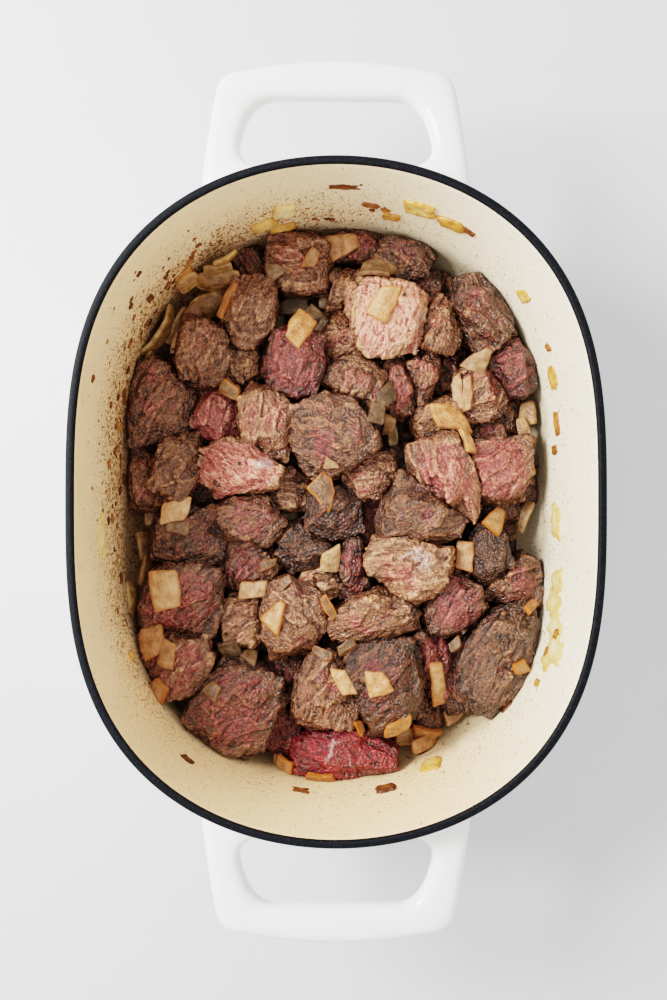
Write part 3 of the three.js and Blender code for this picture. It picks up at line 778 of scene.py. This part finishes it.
print("meat")
brownedMeat = meatFinish()
meatSurfaces = {}
for number in meatLooks:
    part = meatSurfaces[number] = topMeat(number)
    makePiece(f"meatChunk{number:02d}", part, brownedMeat, [f"meat_{number:02d}"])


bed = {
    "level": 10.0,
    "ripple": 0.5,
    "clearance": 0.4,  # between the juices and the enamel
    "topRings": 50,
}


def juicePart():
    # A shallow fill of the pot's round bottom with a rippled top.
    heights = np.linspace(pot["floorThick"] + bed["clearance"], bed["level"], 8)
    sides = innerHalfWidth(heights) - bed["clearance"]
    inwards = sides[-1] * np.linspace(0.985, 0.01, bed["topRings"])
    under = sides[0] * np.linspace(0.02, 0.97, 6)
    halfWidths = np.concatenate([under, sides, inwards])
    z = np.concatenate([0 * under + heights[0], heights, 0 * inwards + bed["level"]])
    rings = ovalRings(halfWidths, z, 160)
    top = rings[-bed["topRings"]:]
    top[..., 2] += bed["ripple"] * noise(top, 9, 3) + 0.3 * noise(top, 3, 4)
    return closedRings(rings)


def juiceFinish():
    # Thin brown gravy, darker and lighter in clouds.
    f = Finish("juices")
    tone = f.noise(f.place, 7, 4, 0.6)
    colour = f.ramp(tone, (0.3, 34, 19, 10), (0.55, 70, 42, 22), (0.8, 124, 84, 46))
    return f.surface(Base_Color=colour, Roughness=0.3, Normal=f.bump(tone, 0.8), IOR=1.38)


print("bed")
lowSurfaces = [gapMeat(i, bed["level"]) for i in range(len(lowMeat))]
makePiece("juicePool", juicePart(), juiceFinish(), ["stew_bed"])
makePiece("lowMeatChunks", joined(lowSurfaces), brownedMeat, ["stew_bed"])


# Offcuts in the gaps, smaller ones beside the large pieces, and crumbs: how many, how far apart, how
# large, and how high the food may be where they lie.
scrap = {
    "gapCount": 70, "gapApart": 7.5, "gapSize": (7, 13), "gapCeiling": 26.0, "gapHeights": (14, 23),
    "edgeCount": 26, "edgeApart": 12, "edgeSize": (4, 8), "edgeCeiling": 40.0,
    "crumbCount": 240, "crumbApart": 3, "crumbSize": (0.9, 2.8), "crumbFloor": 12, "crumbCeiling": 60,
}
mapHalf = 170  # half the side of the map of the food's heights
foodHalf = (106, 140)  # half the width and length of the food


def heightMap(points):
    # The highest point over each square millimetre in plan, with gaps filled from its neighbours.
    place = np.clip((points[:, :2] + mapHalf).astype(int), 0, 2 * mapHalf - 1)
    heights = np.zeros((2 * mapHalf, 2 * mapHalf))
    np.maximum.at(heights, (place[:, 0], place[:, 1]), points[:, 2])
    neighbours = [np.roll(heights, (i, j), (0, 1)) for i in (-1, 0, 1) for j in (-1, 0, 1)]
    return np.where(heights > 0, heights, np.max(neighbours, 0))


def heightAt(heights, x, y):
    return heights[np.asarray(x + mapHalf).astype(int), np.asarray(y + mapHalf).astype(int)]


def freeSpots(heights, floorHeight, ceiling, count, apart, taken, seed):
    # Random places inside the wall where the food's height lies in a range: each candidate in turn
    # stays if nothing kept before it is near.
    random = np.random.default_rng(seed)
    candidates = random.uniform(-1, 1, (6000, 2)) * foodHalf
    inWall = (candidates[:, 0] / foodHalf[0]) ** 2 + np.abs(candidates[:, 1] / foodHalf[1]) ** 3 < 0.98
    over = heightAt(heights, *candidates.T)
    kept = [np.array(spot, float) for spot in taken]
    for spot in candidates[inWall & (over > floorHeight) & (over < ceiling)]:
        if len(kept) - len(taken) < count and min(np.hypot(*(np.array(kept) - spot).T)) > apart:
            kept.append(spot)
    return kept[len(taken):]


def scrapPart(spot, z, size, seed):
    # A small ragged offcut of meat.
    random = np.random.default_rng(seed)
    half = size / 2 * np.array([1.3, 0.8, 0.55]) * random.uniform(0.75, 1.25, 3)
    raw, light = random.uniform(0, 0.5), random.uniform(-0.9, -0.1)
    return looseMeat(np.array([*spot, z]), half, random.uniform(0, 360), raw, light, 1.0, seed)


def crumbPart(spot, z, size, seed):
    # A crumb: an uneven round lump.
    random = np.random.default_rng(seed)
    half = size / 2 * np.array([1.4, 1.0, 0.8]) * random.uniform(0.7, 1.3, 3)
    along, around = np.linspace(0.1, math.pi - 0.1, 8)[:, None], np.arange(11)[None] / 11 * 2 * math.pi
    along, around = np.broadcast_arrays(along, around)
    ball = np.stack([np.cos(along), np.sin(along) * np.cos(around), np.sin(along) * np.sin(around)], -1)
    ball = ball * (1 + 0.35 * noise(ball * 3, 2.2, seed))[..., None]
    rings = turned(ball * half, random.uniform(0, 360)) + (*spot, z)
    zero = np.zeros(rings.shape[:2])
    return closedRings(rings, fibre=rings, sinew=zero, raw=zero, crust=zero + random.uniform(0, 1), pit=zero,
                       light=zero + random.uniform(-0.8, 0.8))


def scatteredScraps():
    # Offcuts in the gaps, clear of the onion there, smaller ones beside the large pieces, and crumbs.
    random = np.random.default_rng(5)
    taken = [entry[:2] for entry in gapOnions]
    low, middle, high = 0, scrap["gapCeiling"], scrap["edgeCeiling"]
    spots = freeSpots(foodHeights, low, middle, scrap["gapCount"], scrap["gapApart"], taken, 1)
    heights, sizes = scrap["gapHeights"], scrap["gapSize"]
    inGaps = [scrapPart(spot, random.uniform(*heights), random.uniform(*sizes), 300 + k)
              for k, spot in enumerate(spots)]
    spots = freeSpots(foodHeights, middle, high, scrap["edgeCount"], scrap["edgeApart"], taken, 2)
    beside = [scrapPart(spot, heightAt(foodHeights, *spot) - 1, random.uniform(*scrap["edgeSize"]), 500 + k)
              for k, spot in enumerate(spots)]
    spots = freeSpots(foodHeights, scrap["crumbFloor"], scrap["crumbCeiling"], scrap["crumbCount"],
                      scrap["crumbApart"], taken, 3)
    small, large = scrap["crumbSize"]
    sizes = [small + random.uniform(0, 1) ** 2 * (large - small) for spot in spots]
    crumbs = [crumbPart(spot, heightAt(foodHeights, *spot) + 0.1 * size, size, 700 + k)
              for k, (spot, size) in enumerate(zip(spots, sizes))]
    return inGaps, beside, crumbs


onion = {
    "thick": 2.7,
    "cupRadius": 24.0,  # how strongly a layer bends across its width
    "bowRadius": 70.0,  # and along its length
    "wobble": 0.7,
    "bedding": 0.5,  # how far a piece sinks into what it lies on
    "ledge": 9.0,  # food lower than this under a piece's highest rest doesn't tilt it
    "nodes": 7,  # how many of topOnions are nodes of their own
}

# Onion on top, each x, y, width, length, turn, golden from 0 to 1, clear from 0, pale, to 1, grey, and
# narrow, how much less wide its far end is. The first seven are the nodes onion_01 to onion_07.
topOnions = [
    (4, 139, 17, 11, 18, 0.2, 0.0, 0.0), (25, 104, 12, 18, -28, 0.6, 0.1, 0.1),
    (-19, 91, 13, 18, -32, 0.4, 0.0, 0.05), (61, 45, 17, 16, 22, 0.2, 0.0, 0.1),
    (-6, 7, 14, 14, 45, 0.9, 1.0, 0.1), (-85, -5, 14, 12, -8, 0.1, 0.1, 0.0),
    (-89, -46, 16, 20, 12, 0.5, 0.1, 0.1),
    (23, 124, 20, 13, -14, 0.1, 0.8, 0.2), (-13, 98, 10, 8, 40, 0.0, 1.0, 0.0),
    (-32, 123, 10, 8, 12, 0.1, 0.8, 0.1), (-13, 130, 8, 10, -20, 0.4, 0.4, 0.3),
    (69, 32, 7, 15, 20, 0.2, 0.0, 0.3), (66, 59, 5, 18, 4, 0.4, 0.6, 0.0),
    (71, 58, 5, 17, 2, 0.1, 0.3, 0.1), (77, 76, 13, 15, -40, 0.2, 0.65, 0.6),
    (26, 56, 12, 10, 15, 0.1, 1.0, 0.1), (21, 46, 9, 11, -10, 0.0, 0.9, 0.1),
    (29, 42, 6, 11, -6, 0.0, 0.4, 0.0), (-84, -14, 12, 6, -6, 0.2, 0.85, 0.0),
    (-3, -31, 10, 13, -4, 0.1, 0.35, 0.0), (69, -29, 9, 15, -4, 0.5, 0.45, 0.0),
    (-97, -74, 14, 17, 8, 0.5, 0.1, 0.1), (-88, -80, 9, 14, -10, 0.3, 0.2, 0.2),
    (-44, -47, 15, 9, -6, 0.4, 0.45, 0.1), (-31, -59, 13, 16, -30, 1.0, 0.4, 0.7),
    (4, -95, 8, 15, 28, 0.4, 0.1, 0.1), (22, -94, 13, 13, 20, 0.3, 0.1, 0.3),
    (55, -98, 9, 27, 8, 0.6, 0.25, 0.2), (33, -118, 15, 8, 0, 0.7, 0.4, 0.2),
    (-27, -142, 13, 8, -8, 0.8, 0.35, 0.2), (-8, -147, 15, 5, 4, 1.0, 0.6, 0.1),
    (51, -128, 15, 9, 16, 0.9, 0.1, 0.1), (-92, -98, 11, 9, -30, 0.8, 0.3, 0.2),
    (-57, -78, 12, 10, 15, 0.1, 1.0, 0.2), (-49, -83, 13, 5, -8, 0.0, 0.8, 0.0),
    (-64, -99, 10, 8, -30, 0.3, 1.0, 0.2), (-7, -81, 12, 5, -20, 0.4, 1.0, 0.0),
    (6, -77, 10, 5, 15, 0.2, 1.0, 0.0), (-56, 60, 13, 8, -14, 0.6, 0.9, 0.2),
    (-57, 107, 4, 20, -24, 0.8, 0.1, 0.3), (-4, -56, 5, 13, 24, 1.0, 1.0, 0.2),
    (-36, -34, 8, 5, 0, 0.4, 1.0, 0.0), (-26, -43, 7, 5, 30, 0.3, 1.0, 0.0),
    (-2, 20, 8, 4, -10, 0.2, 0.6, 0.2), (96, -86, 8, 7, 30, 0.9, 0.35, 0.1),
    (103, -56, 10, 5, 40, 0.9, 0.5, 0.2), (12, -120, 4, 8, 20, 0.9, 0.1, 0.0),
    (64, -76, 7, 6, 10, 0.3, 1.0, 0.0), (85, -10, 12, 14, -30, 0.9, 0.5, 0.5),
]

# Onion in the gaps and along the wall, each x, y, height of its middle, width, length, turn, tilt to
# its side, petal from 0, diced, to 1, a whole curved layer, golden and clear.
gapOnions = [
    (-63, 117, 43, 12, 24, -82, 40, 1.0, 0.3, 0.15), (-62, 122, 47, 8, 15, -78, 62, 0.9, 0.4, 0.3),
    (-57, 126, 54, 6, 14, -60, 80, 1.0, 0.2, 0.0), (-67, 106, 35, 14, 25, -66, 28, 1.0, 0.2, 0.3),
    (-78, 116, 44, 10, 13, -52, 55, 0.9, 0.9, 0.1), (-75, 101, 34, 12, 16, -40, 30, 0.9, 0.6, 0.2),
    (-92, 90, 38, 9, 31, -30, 66, 1.0, 0.1, 0.1), (-85, 95, 33, 8, 22, -30, 40, 0.9, 0.1, 0.4),
    (-99, 80, 34, 7, 17, -25, 72, 0.8, 0.5, 0.4), (-84, 87, 33, 10, 14, -6, 14, 0.0, 0.2, 0.15),
    (-60, 112, 24, 16, 12, 10, 10, 0.3, 0.4, 0.8), (-68, 98, 24, 14, 16, 50, 25, 0.6, 0.2, 0.7),
    (-100, -6, 26, 10, 13, 0, 20, 0.3, 0.2, 0.5), (-104, -24, 26, 10, 16, 12, 50, 0.7, 0.3, 0.4),
    (-97, -34, 24, 9, 14, -40, -20, 0.3, 0.1, 0.5), (-103, -38, 28, 8, 17, -10, 50, 0.6, 0.4, 0.3),
    (-109, -54, 35, 9, 22, 4, 70, 0.95, 0.7, 0.1), (-102, -104, 28, 10, 12, 40, 40, 0.5, 0.6, 0.3),
    (-24, 108, 24, 18, 9, 6, 0, 0.3, 0.0, 0.9), (-33, 100, 20, 10, 14, 0, 15, 0.2, 0.0, 0.9),
    (-7, 94, 24, 10, 13, -30, 10, 0.4, 0.0, 0.9), (-6, 110, 26, 7, 8, 0, 15, 0.3, 0.0, 0.9),
    (-32, 60, 20, 12, 10, 10, 0, 0.4, 0.0, 0.9), (-45, 60, 24, 15, 9, -12, 10, 0.4, 0.2, 0.6),
    (104, 48, 32, 10, 13, 0, -35, 0.5, 0.3, 0.4), (102, 38, 34, 7, 15, 16, -20, 0.8, 0.4, 0.3),
    (104, 30, 30, 8, 14, -18, -40, 0.6, 0.3, 0.5), (101, 18, 34, 12, 12, 20, -30, 0.5, 0.4, 0.3),
    (94, 4, 28, 12, 10, -30, -10, 0.2, 0.7, 0.3), (103, -8, 28, 6, 18, -22, -40, 0.8, 0.2, 0.5),
    (24, 46, 24, 13, 13, 0, 0, 0.6, 0.0, 0.9), (31, 38, 28, 6, 15, 8, 20, 0.8, 0.0, 0.5),
    (-26, -8, 26, 11, 12, 4, 5, 0.2, 0.0, 0.9), (-45, -78, 22, 18, 8, -4, 0, 0.3, 0.0, 0.7),
    (-55, -74, 26, 13, 10, 20, 10, 0.2, 0.1, 0.6), (33, -122, 24, 16, 12, -6, 10, 0.4, 0.6, 0.3),
    (50, -132, 26, 17, 8, 12, 30, 0.5, 0.7, 0.2), (40, -130, 22, 14, 10, -8, 20, 0.4, 0.6, 0.4),
    (66, -116, 22, 14, 9, 20, 10, 0.3, 0.4, 0.4), (92, -106, 26, 10, 9, 30, 20, 0.3, 0.5, 0.3),
    (70, -76, 24, 9, 9, 0, 0, 0.2, 0.0, 0.7), (-28, -138, 26, 13, 9, 12, 30, 0.4, 0.5, 0.2),
    (72, 34, 24, 12, 12, 30, 0, 0.3, 0.1, 0.7), (12, 26, 20, 13, 12, 20, 0, 0.4, 0.0, 0.9),
    (-62, -36, 22, 14, 9, -10, 0, 0.4, 0.0, 0.7), (88, 70, 24, 10, 12, 30, 0, 0.5, 0.2, 0.6),
]


def onionSlab(width, length, narrow, petal, seed):
    # A slab of one onion layer: a thin section with round sides, cupped across its width, carried along
    # its length with a slight bow. Its ends are cut askew and one corner is trimmed. A petal's outline is
    # drawn in toward both ends, and it is cupped more.
    random = np.random.default_rng(seed)
    skewNear, skewFar, trim = random.uniform((-0.3, -0.3, 0), (0.3, 0.3, 0.5))
    corner = random.choice([-1, 1], 2)
    flat = np.linspace(-1, 1, 13)
    side = np.linspace(math.pi / 2, -math.pi / 2, 5)[1:-1]
    x = np.concatenate([flat, 1 + 0.07 * np.cos(side), flat[::-1], -1 - 0.07 * np.cos(side)])
    z = np.concatenate([0 * flat + 1, np.sin(side), 0 * flat - 1, -np.sin(side)])
    v = np.concatenate([[-1.02, -1.0], np.linspace(-0.97, 0.97, 17), [1.0, 1.02]])[:, None]
    end = np.interp(np.abs(v), [0.97, 1.0, 1.02], [1.0, 0.85, 0.5])
    power = 11 - 8.6 * petal
    half = width / 2 * (1 - narrow * (v + 1) / 2) * (1 - np.abs(v / 1.04) ** power) ** (1 / power)
    lx = half * x * np.minimum(1, 0.9 + 0.1 * end)
    trimmed = trim * (1 - petal) * smoothStep(0.1, 1.0, corner[0] * x) * smoothStep(0.0, 1.0, corner[1] * v)
    lx = lx * (1 - trimmed)
    ly = length / 2 * v + lx * (skewNear * (1 - v) + skewFar * (1 + v)) * (1 - petal)
    edges = np.stack([lx, ly, 0 * lx], -1)
    wobble = onion["wobble"] * (1 - 0.6 * petal)
    lx = lx + wobble * noise(edges, 6, seed)
    ly = ly + wobble * noise(edges, 6, seed + 1)
    lz = onion["thick"] / 2 * (1 - 0.3 * petal) * z * end * (1 + 0.25 * noise(edges, 5, seed + 2))
    cup = onion["cupRadius"] / (1 + 1.6 * petal)
    bow = onion["bowRadius"] / (1 + 2.5 * petal)
    lz = lz - lx ** 2 / (2 * cup) - ly ** 2 / (2 * bow) + wobble * 0.7 * noise(edges, 7, seed + 3)
    toEdge = np.minimum(half * (1 - np.minimum(np.abs(x), 1)), length / 2 * (1 - np.minimum(np.abs(v), 1)))
    return np.stack([lx, ly, lz], -1), smoothStep(1.7, 0.0, toEdge + 0 * lx)


def onionPart(frameOfPiece, width, length, narrow, petal, golden, clear, seed):
    # The slab put into place: its own three directions, then its middle.
    rings, edge = onionSlab(width, length, narrow, petal, seed)
    sideways, onwards, up, middle = frameOfPiece
    points = middle + rings[..., :1] * sideways + rings[..., 1:2] * onwards + rings[..., 2:] * up
    size = rings.shape[:2]
    shade = np.random.default_rng(seed + 900).uniform(-0.18, 0.18)
    part = closedRings(points, local=rings + 40.0 * seed, edge=edge, golden=np.full(size, golden),
                       clear=np.full(size, clear), shade=np.full(size, shade), petal=np.full(size, petal))
    return insidePot(part)


def restingFrame(surface, x, y, width, length, turn, thick):
    # A piece's directions and middle where it lies on the food: the best plane through the heights
    # under its footprint, lifted to rest on the higher ones.
    c, s = cosSin(turn)
    u, v = np.meshgrid(np.linspace(-0.45, 0.45, 7) * width, np.linspace(-0.45, 0.45, 7) * length)
    px, py = (x + c * u - s * v).ravel(), (y + s * u + c * v).ravel()
    heights = heightAt(surface, px, py)
    near = heights > heights.max() - onion["ledge"]
    columns = np.stack([0 * px + 1, px - x, py - y], -1)
    level, slopeX, slopeY = np.linalg.lstsq(columns[near], heights[near], rcond=None)[0]
    slopeX, slopeY = np.clip([slopeX, slopeY], -0.9, 0.9)
    over = heights - (level + columns[:, 1] * slopeX + columns[:, 2] * slopeY)
    level = level + np.percentile(over[near], 75) - onion["bedding"]
    up = unit(np.array([-slopeX, -slopeY, 1.0]))
    sideways = np.array([c, s, 0.0])
    sideways = unit(sideways - up * (sideways @ up))
    return sideways, np.cross(up, sideways), up, np.array([x, y, level]) + up * thick / 2


def leaningFrame(x, y, z, turn, tilt):
    # A piece's directions and middle where it stands at a tilt about its own length.
    c, s = cosSin(tilt)
    directions = turned(np.array([[c, 0, -s], [0, 1, 0], [s, 0, c]]), turn)
    return directions[0], directions[1], directions[2], np.array([x, y, z])


def onionFinish():
    # Softened onion: tan, grey where clear, amber where a whole layer, cloudy, with fine ribs along the
    # layer, browned along the edges.
    f = Finish("softOnion")
    local = f.field("local", vector=True)
    edge, golden, clear = f.field("edge"), f.field("golden"), f.field("clear")
    shade, petal = f.field("shade"), f.field("petal")
    ribs = f.noise(f.stretch(local, 1, 0.08, 0.3), 1.0, 3, 0.6, 0.5)
    cloud = f.noise(f.place, 4.5, 4, 0.6)
    wet = f.noise(f.place, 1.4, 3)
    tone = (0.43 + shade + (ribs - 0.5) * 0.45 + (cloud - 0.5) * 1.5 + edge * (petal * 0.35 - 0.05)).clamped()
    pale = f.ramp(tone, (0.0, 134, 84, 48), (0.45, 192, 140, 94), (1.0, 236, 198, 154))
    grey = f.ramp(tone, (0.0, 48, 36, 25), (0.45, 90, 71, 51), (1.0, 150, 126, 96))
    amber = f.ramp(tone, (0.0, 70, 44, 18), (0.45, 138, 100, 50), (1.0, 216, 186, 120))
    colour = f.mix(clear, f.mix(petal * 0.75, pale, amber), grey)
    browned = (golden * (0.25 + edge * (1.0 - petal * 0.8)) * (0.2 + cloud * 1.2)).clamped()
    colour = f.mix(browned, colour, (170, 98, 38))
    return f.surface(Base_Color=colour, Roughness=(0.1 + wet * 0.25).clamped(),
                     Normal=f.bump(ribs * 0.4 + wet * 0.9 + cloud * 0.8, 0.8), IOR=1.5,
                     Subsurface_Weight=0.12, Subsurface_Radius=(1.0, 0.7, 0.35), Subsurface_Scale=2.5 * mm)


print("onion")
softOnion = onionFinish()
foodPoints = np.concatenate([part["points"] for part in [*meatSurfaces.values(), *lowSurfaces]])
foodHeights = heightMap(foodPoints)
gapScraps, edgeScraps, crumbs = scatteredScraps()
makePiece("gapScraps", joined(gapScraps), brownedMeat, ["stew_bed"])
makePiece("edgeScraps", joined(edgeScraps + crumbs), brownedMeat)
loose = []
for index, (x, y, width, length, turn, golden, clear, narrow) in enumerate(topOnions):
    lying = restingFrame(foodHeights, x, y, width, length, turn, onion["thick"])
    part = onionPart(lying, width, length, narrow, 0.0, golden, clear, index)
    if index < onion["nodes"]:
        makePiece(f"onionDice{index + 1:02d}", part, softOnion, [f"onion_{index + 1:02d}"])
    else:
        loose.append(part)
makePiece("onionOnTop", joined(loose), softOnion)
standing = []
for index, (x, y, z, width, length, turn, tilt, petal, golden, clear) in enumerate(gapOnions):
    leaning = leaningFrame(x, y, z, turn, tilt)
    standing.append(onionPart(leaning, width, length, 0.15, petal, golden, clear, 60 + index))
makePiece("onionInGaps", joined(standing), softOnion, ["stew_bed"])


# Bits stuck on the wall, each angle in degrees from +X, height, width, tallness, thickness, turn, and
# colour from 0, pale yellow, through 1, golden, to 2, dark brown.
wallBits = [
    (100, 65, 12, 15, 2.6, 8, 0.2), (104.5, 53, 14, 11, 2.4, -15, 0.6), (101, 43, 15, 8, 2.2, 5, 0.9),
    (74, 78, 17, 14, 1.8, -12, 0.7), (67.5, 76, 15, 10, 1.8, -20, 1.0), (63.7, 78, 6, 5, 1.0, 0, 1.7),
    (79, 58, 9, 8, 1.4, 0, 1.0), (83.2, 68, 9, 5, 0.9, 5, 1.5), (47.6, 67, 7, 12, 1.2, 10, 0.7),
    (36, 66, 4, 7, 0.8, 0, 1.4), (29.7, 61, 11, 11, 1.0, 0, 0.9), (19.4, 57, 12, 7, 1.0, 4, 1.3),
    (-4.7, 52, 16, 14, 0.9, 12, 0.5), (-20, 58, 13, 16, 0.8, -20, 0.5), (-25, 57, 14, 18, 0.8, 10, 0.5),
    (-29.5, 64, 13, 20, 0.7, 15, 0.4), (-34, 72, 14, 24, 0.8, 0, 0.4), (-37, 66, 9, 12, 0.7, 20, 0.6),
    (-31, 70, 5, 7, 1.1, 0, 1.4), (-35.5, 63, 5, 6, 1.0, 0, 1.3), (-42, 66, 4, 6, 0.9, 0, 1.2),
    (-171.7, 75, 20, 8, 1.0, 2, 0.3), (-70, 46, 12, 14, 1.6, 20, 0.8), (-80, 59, 10, 9, 1.6, 0, 1.8),
    (-120, 76, 7, 5, 0.7, 10, 1.9), (-50, 46, 8, 6, 0.9, 20, 1.8), (132.4, 63, 4, 6, 1.0, 0, 1.8),
    (88.5, 88, 14, 5, 0.5, 0, 1.7), (-143, 54, 5, 7, 0.8, 0, 0.8), (123.6, 46, 11, 13, 1.6, 0, 1.1),
    (-97, 57, 8, 6, 0.6, 0, 1.7), (13.3, 51, 5, 8, 0.7, 0, 1.5), (174, 38, 6, 5, 0.8, 0, 1.8),
]

# Flakes of crust: how many, the angle they crowd round and how widely, the lowest height, how far up
# they thin out, the highest, and how square they are.
flakes = {"count": 190, "angle": 142.0, "spread": 32.0, "lowest": 44.0, "reach": 14.0, "highest": 98,
          "squareness": 2.2}


def wallBit(angle, height, width, tall, thick, turn, shade, seed, squareness=6):
    # A ragged disc laid on the inner wall: rings from its middle out over its edge and back under it,
    # the radius uneven round the disc, most of all in thin ones, the rise flat on top and falling at the
    # edge.
    out = np.array([0.03, 0.3, 0.6, 0.82, 0.94, 1.0, 0.97, 0.6, 0.03])[:, None]
    rise = np.array([1, 1, 0.97, 0.9, 0.66, 0.2, -0.12, -0.15, -0.15])[:, None]
    around = np.linspace(0, 2 * math.pi, 48, endpoint=False)[None]
    corners = np.abs(np.cos(around)) ** squareness + np.abs(np.sin(around)) ** squareness
    square = corners ** (-1 / squareness)
    circle = np.stack([np.cos(around), np.sin(around), 0 * around + seed], -1)
    uneven = min(0.5, max(0.07, 0.58 - 0.24 * thick))
    ragged = 1 + uneven * (noise(circle * 10, 6, seed) + 0.6 * noise(circle * 10, 2.6, seed))
    u = width / 2 * out * ragged * square * np.cos(around)
    v = tall / 2 * out * ragged * square * np.sin(around)
    c, s = cosSin(turn)
    u, v = c * u - s * v, s * u + c * v
    z = height + v
    halfWidth = innerHalfWidth(z)
    direction = math.radians(angle) + 0 * z
    direction = direction + u / ovalRadius(halfWidth, direction)
    bumpy = 1 + 0.35 * noise(np.stack([u, v, 0 * u + seed], -1), 4, seed)
    radius = ovalRadius(halfWidth, direction) - thick * rise * bumpy
    points = np.stack([radius * np.cos(direction), radius * np.sin(direction), z], -1)
    size = points.shape[:2]
    return closedRings(points, shade=np.full(size, shade), rim=out + 0 * points[..., 0])


def wallBitFinish():
    f = Finish("stuckBits")
    shade, rim = f.field("shade"), f.field("rim")
    cloud = f.noise(f.place, 3.5, 3, 0.6)
    tone = ((shade + (cloud - 0.5) * 0.9 + (rim - 0.6) * 0.5) / 2).clamped()
    colour = f.ramp(tone, (0.0, 238, 218, 174), (0.25, 226, 190, 124), (0.45, 206, 150, 76),
                    (0.7, 150, 92, 44), (1.0, 84, 48, 26))
    return f.surface(Base_Color=colour, Roughness=0.28, Normal=f.bump(cloud, 0.5), IOR=1.45,
                     Subsurface_Weight=0.12, Subsurface_Radius=(1.0, 0.6, 0.3), Subsurface_Scale=1.5 * mm)


def scatteredFlakes():
    # Brown flakes of crust on the wall, most of them low at the upper left, lying along the wall.
    random = np.random.default_rng(11)
    count = flakes["count"]
    angle = random.normal(flakes["angle"], flakes["spread"], count)
    height = flakes["lowest"] + random.exponential(flakes["reach"], count)
    size = 0.8 + random.uniform(0, 1, count) ** 4 * 2.8
    height = np.minimum(height, flakes["highest"])
    turn, shade = random.uniform(-30, 30, count), random.uniform(1.2, 2.1, count)
    entries = np.stack([angle, height, size * 1.3, size * 1.4, 0.25 + 0.08 * size, turn, shade], -1)
    return [wallBit(*entry, 100 + i, flakes["squareness"]) for i, entry in enumerate(entries)]


print("wall bits")
stuckBits = wallBitFinish()
makePiece("wallBits", joined([wallBit(*bit, i) for i, bit in enumerate(wallBits)]), stuckBits)
makePiece("wallFlakes", joined(scatteredFlakes()), stuckBits)


# In metres, the lens in millimetres.
stage = {
    "floorHalf": 3.0,
    "cameraPlace": (-0.0012, 0.0009, 0.572),
    "cameraLens": 35.77,
    "windowPlace": (-0.7, 0.25, 0.7),
    "windowSize": 0.38,
    "windowPower": 16.7,
    "skyStrength": 1.087,
}


def makeFloor():
    half = stage["floorHalf"]
    mesh = bpy.data.meshes.new("floor")
    corners = [(x * half, y * half, 0) for x, y in ((-1, -1), (1, -1), (1, 1), (-1, 1))]
    mesh.from_pydata(corners, [], [(0, 1, 2, 3)])
    f = Finish("paleFloor")
    shade = f.noise(f.place, 60, 3)
    mesh.materials.append(f.surface(
        Base_Color=f.mix(shade, (203, 205, 205), (209, 211, 210)), Roughness=0.6))
    floor = bpy.data.objects.new("floor", mesh)
    bpy.context.scene.collection.objects.link(floor)


def makeLight():
    data = bpy.data.lights.new("window", "AREA")
    data.shape = "SQUARE"
    data.size = stage["windowSize"]
    data.energy = stage["windowPower"]
    window = bpy.data.objects.new("window", data)
    window.location = stage["windowPlace"]
    window.rotation_euler = (-Vector(stage["windowPlace"])).to_track_quat("-Z", "Y").to_euler()
    bpy.context.scene.collection.objects.link(window)
    world = bpy.data.worlds.new("sky")
    world.use_nodes = True
    background = world.node_tree.nodes["Background"]
    background.inputs["Color"].default_value = (1.0, 1.0, 1.0, 1.0)
    background.inputs["Strength"].default_value = stage["skyStrength"]
    bpy.context.scene.world = world


def makeCamera():
    data = bpy.data.cameras.new("camera")
    data.lens = stage["cameraLens"]
    data.sensor_width = 36
    data.clip_start = 0.01
    camera = bpy.data.objects.new("camera", data)
    camera.location = stage["cameraPlace"]
    bpy.context.scene.collection.objects.link(camera)
    bpy.context.scene.camera = camera


print("stage")
makeFloor()
makeLight()
makeCamera()
bpy.context.scene.view_settings.view_transform = "Filmic"
bpy.context.scene.view_settings.look = "High Contrast"
bpy.context.scene.view_settings.exposure = 0.0
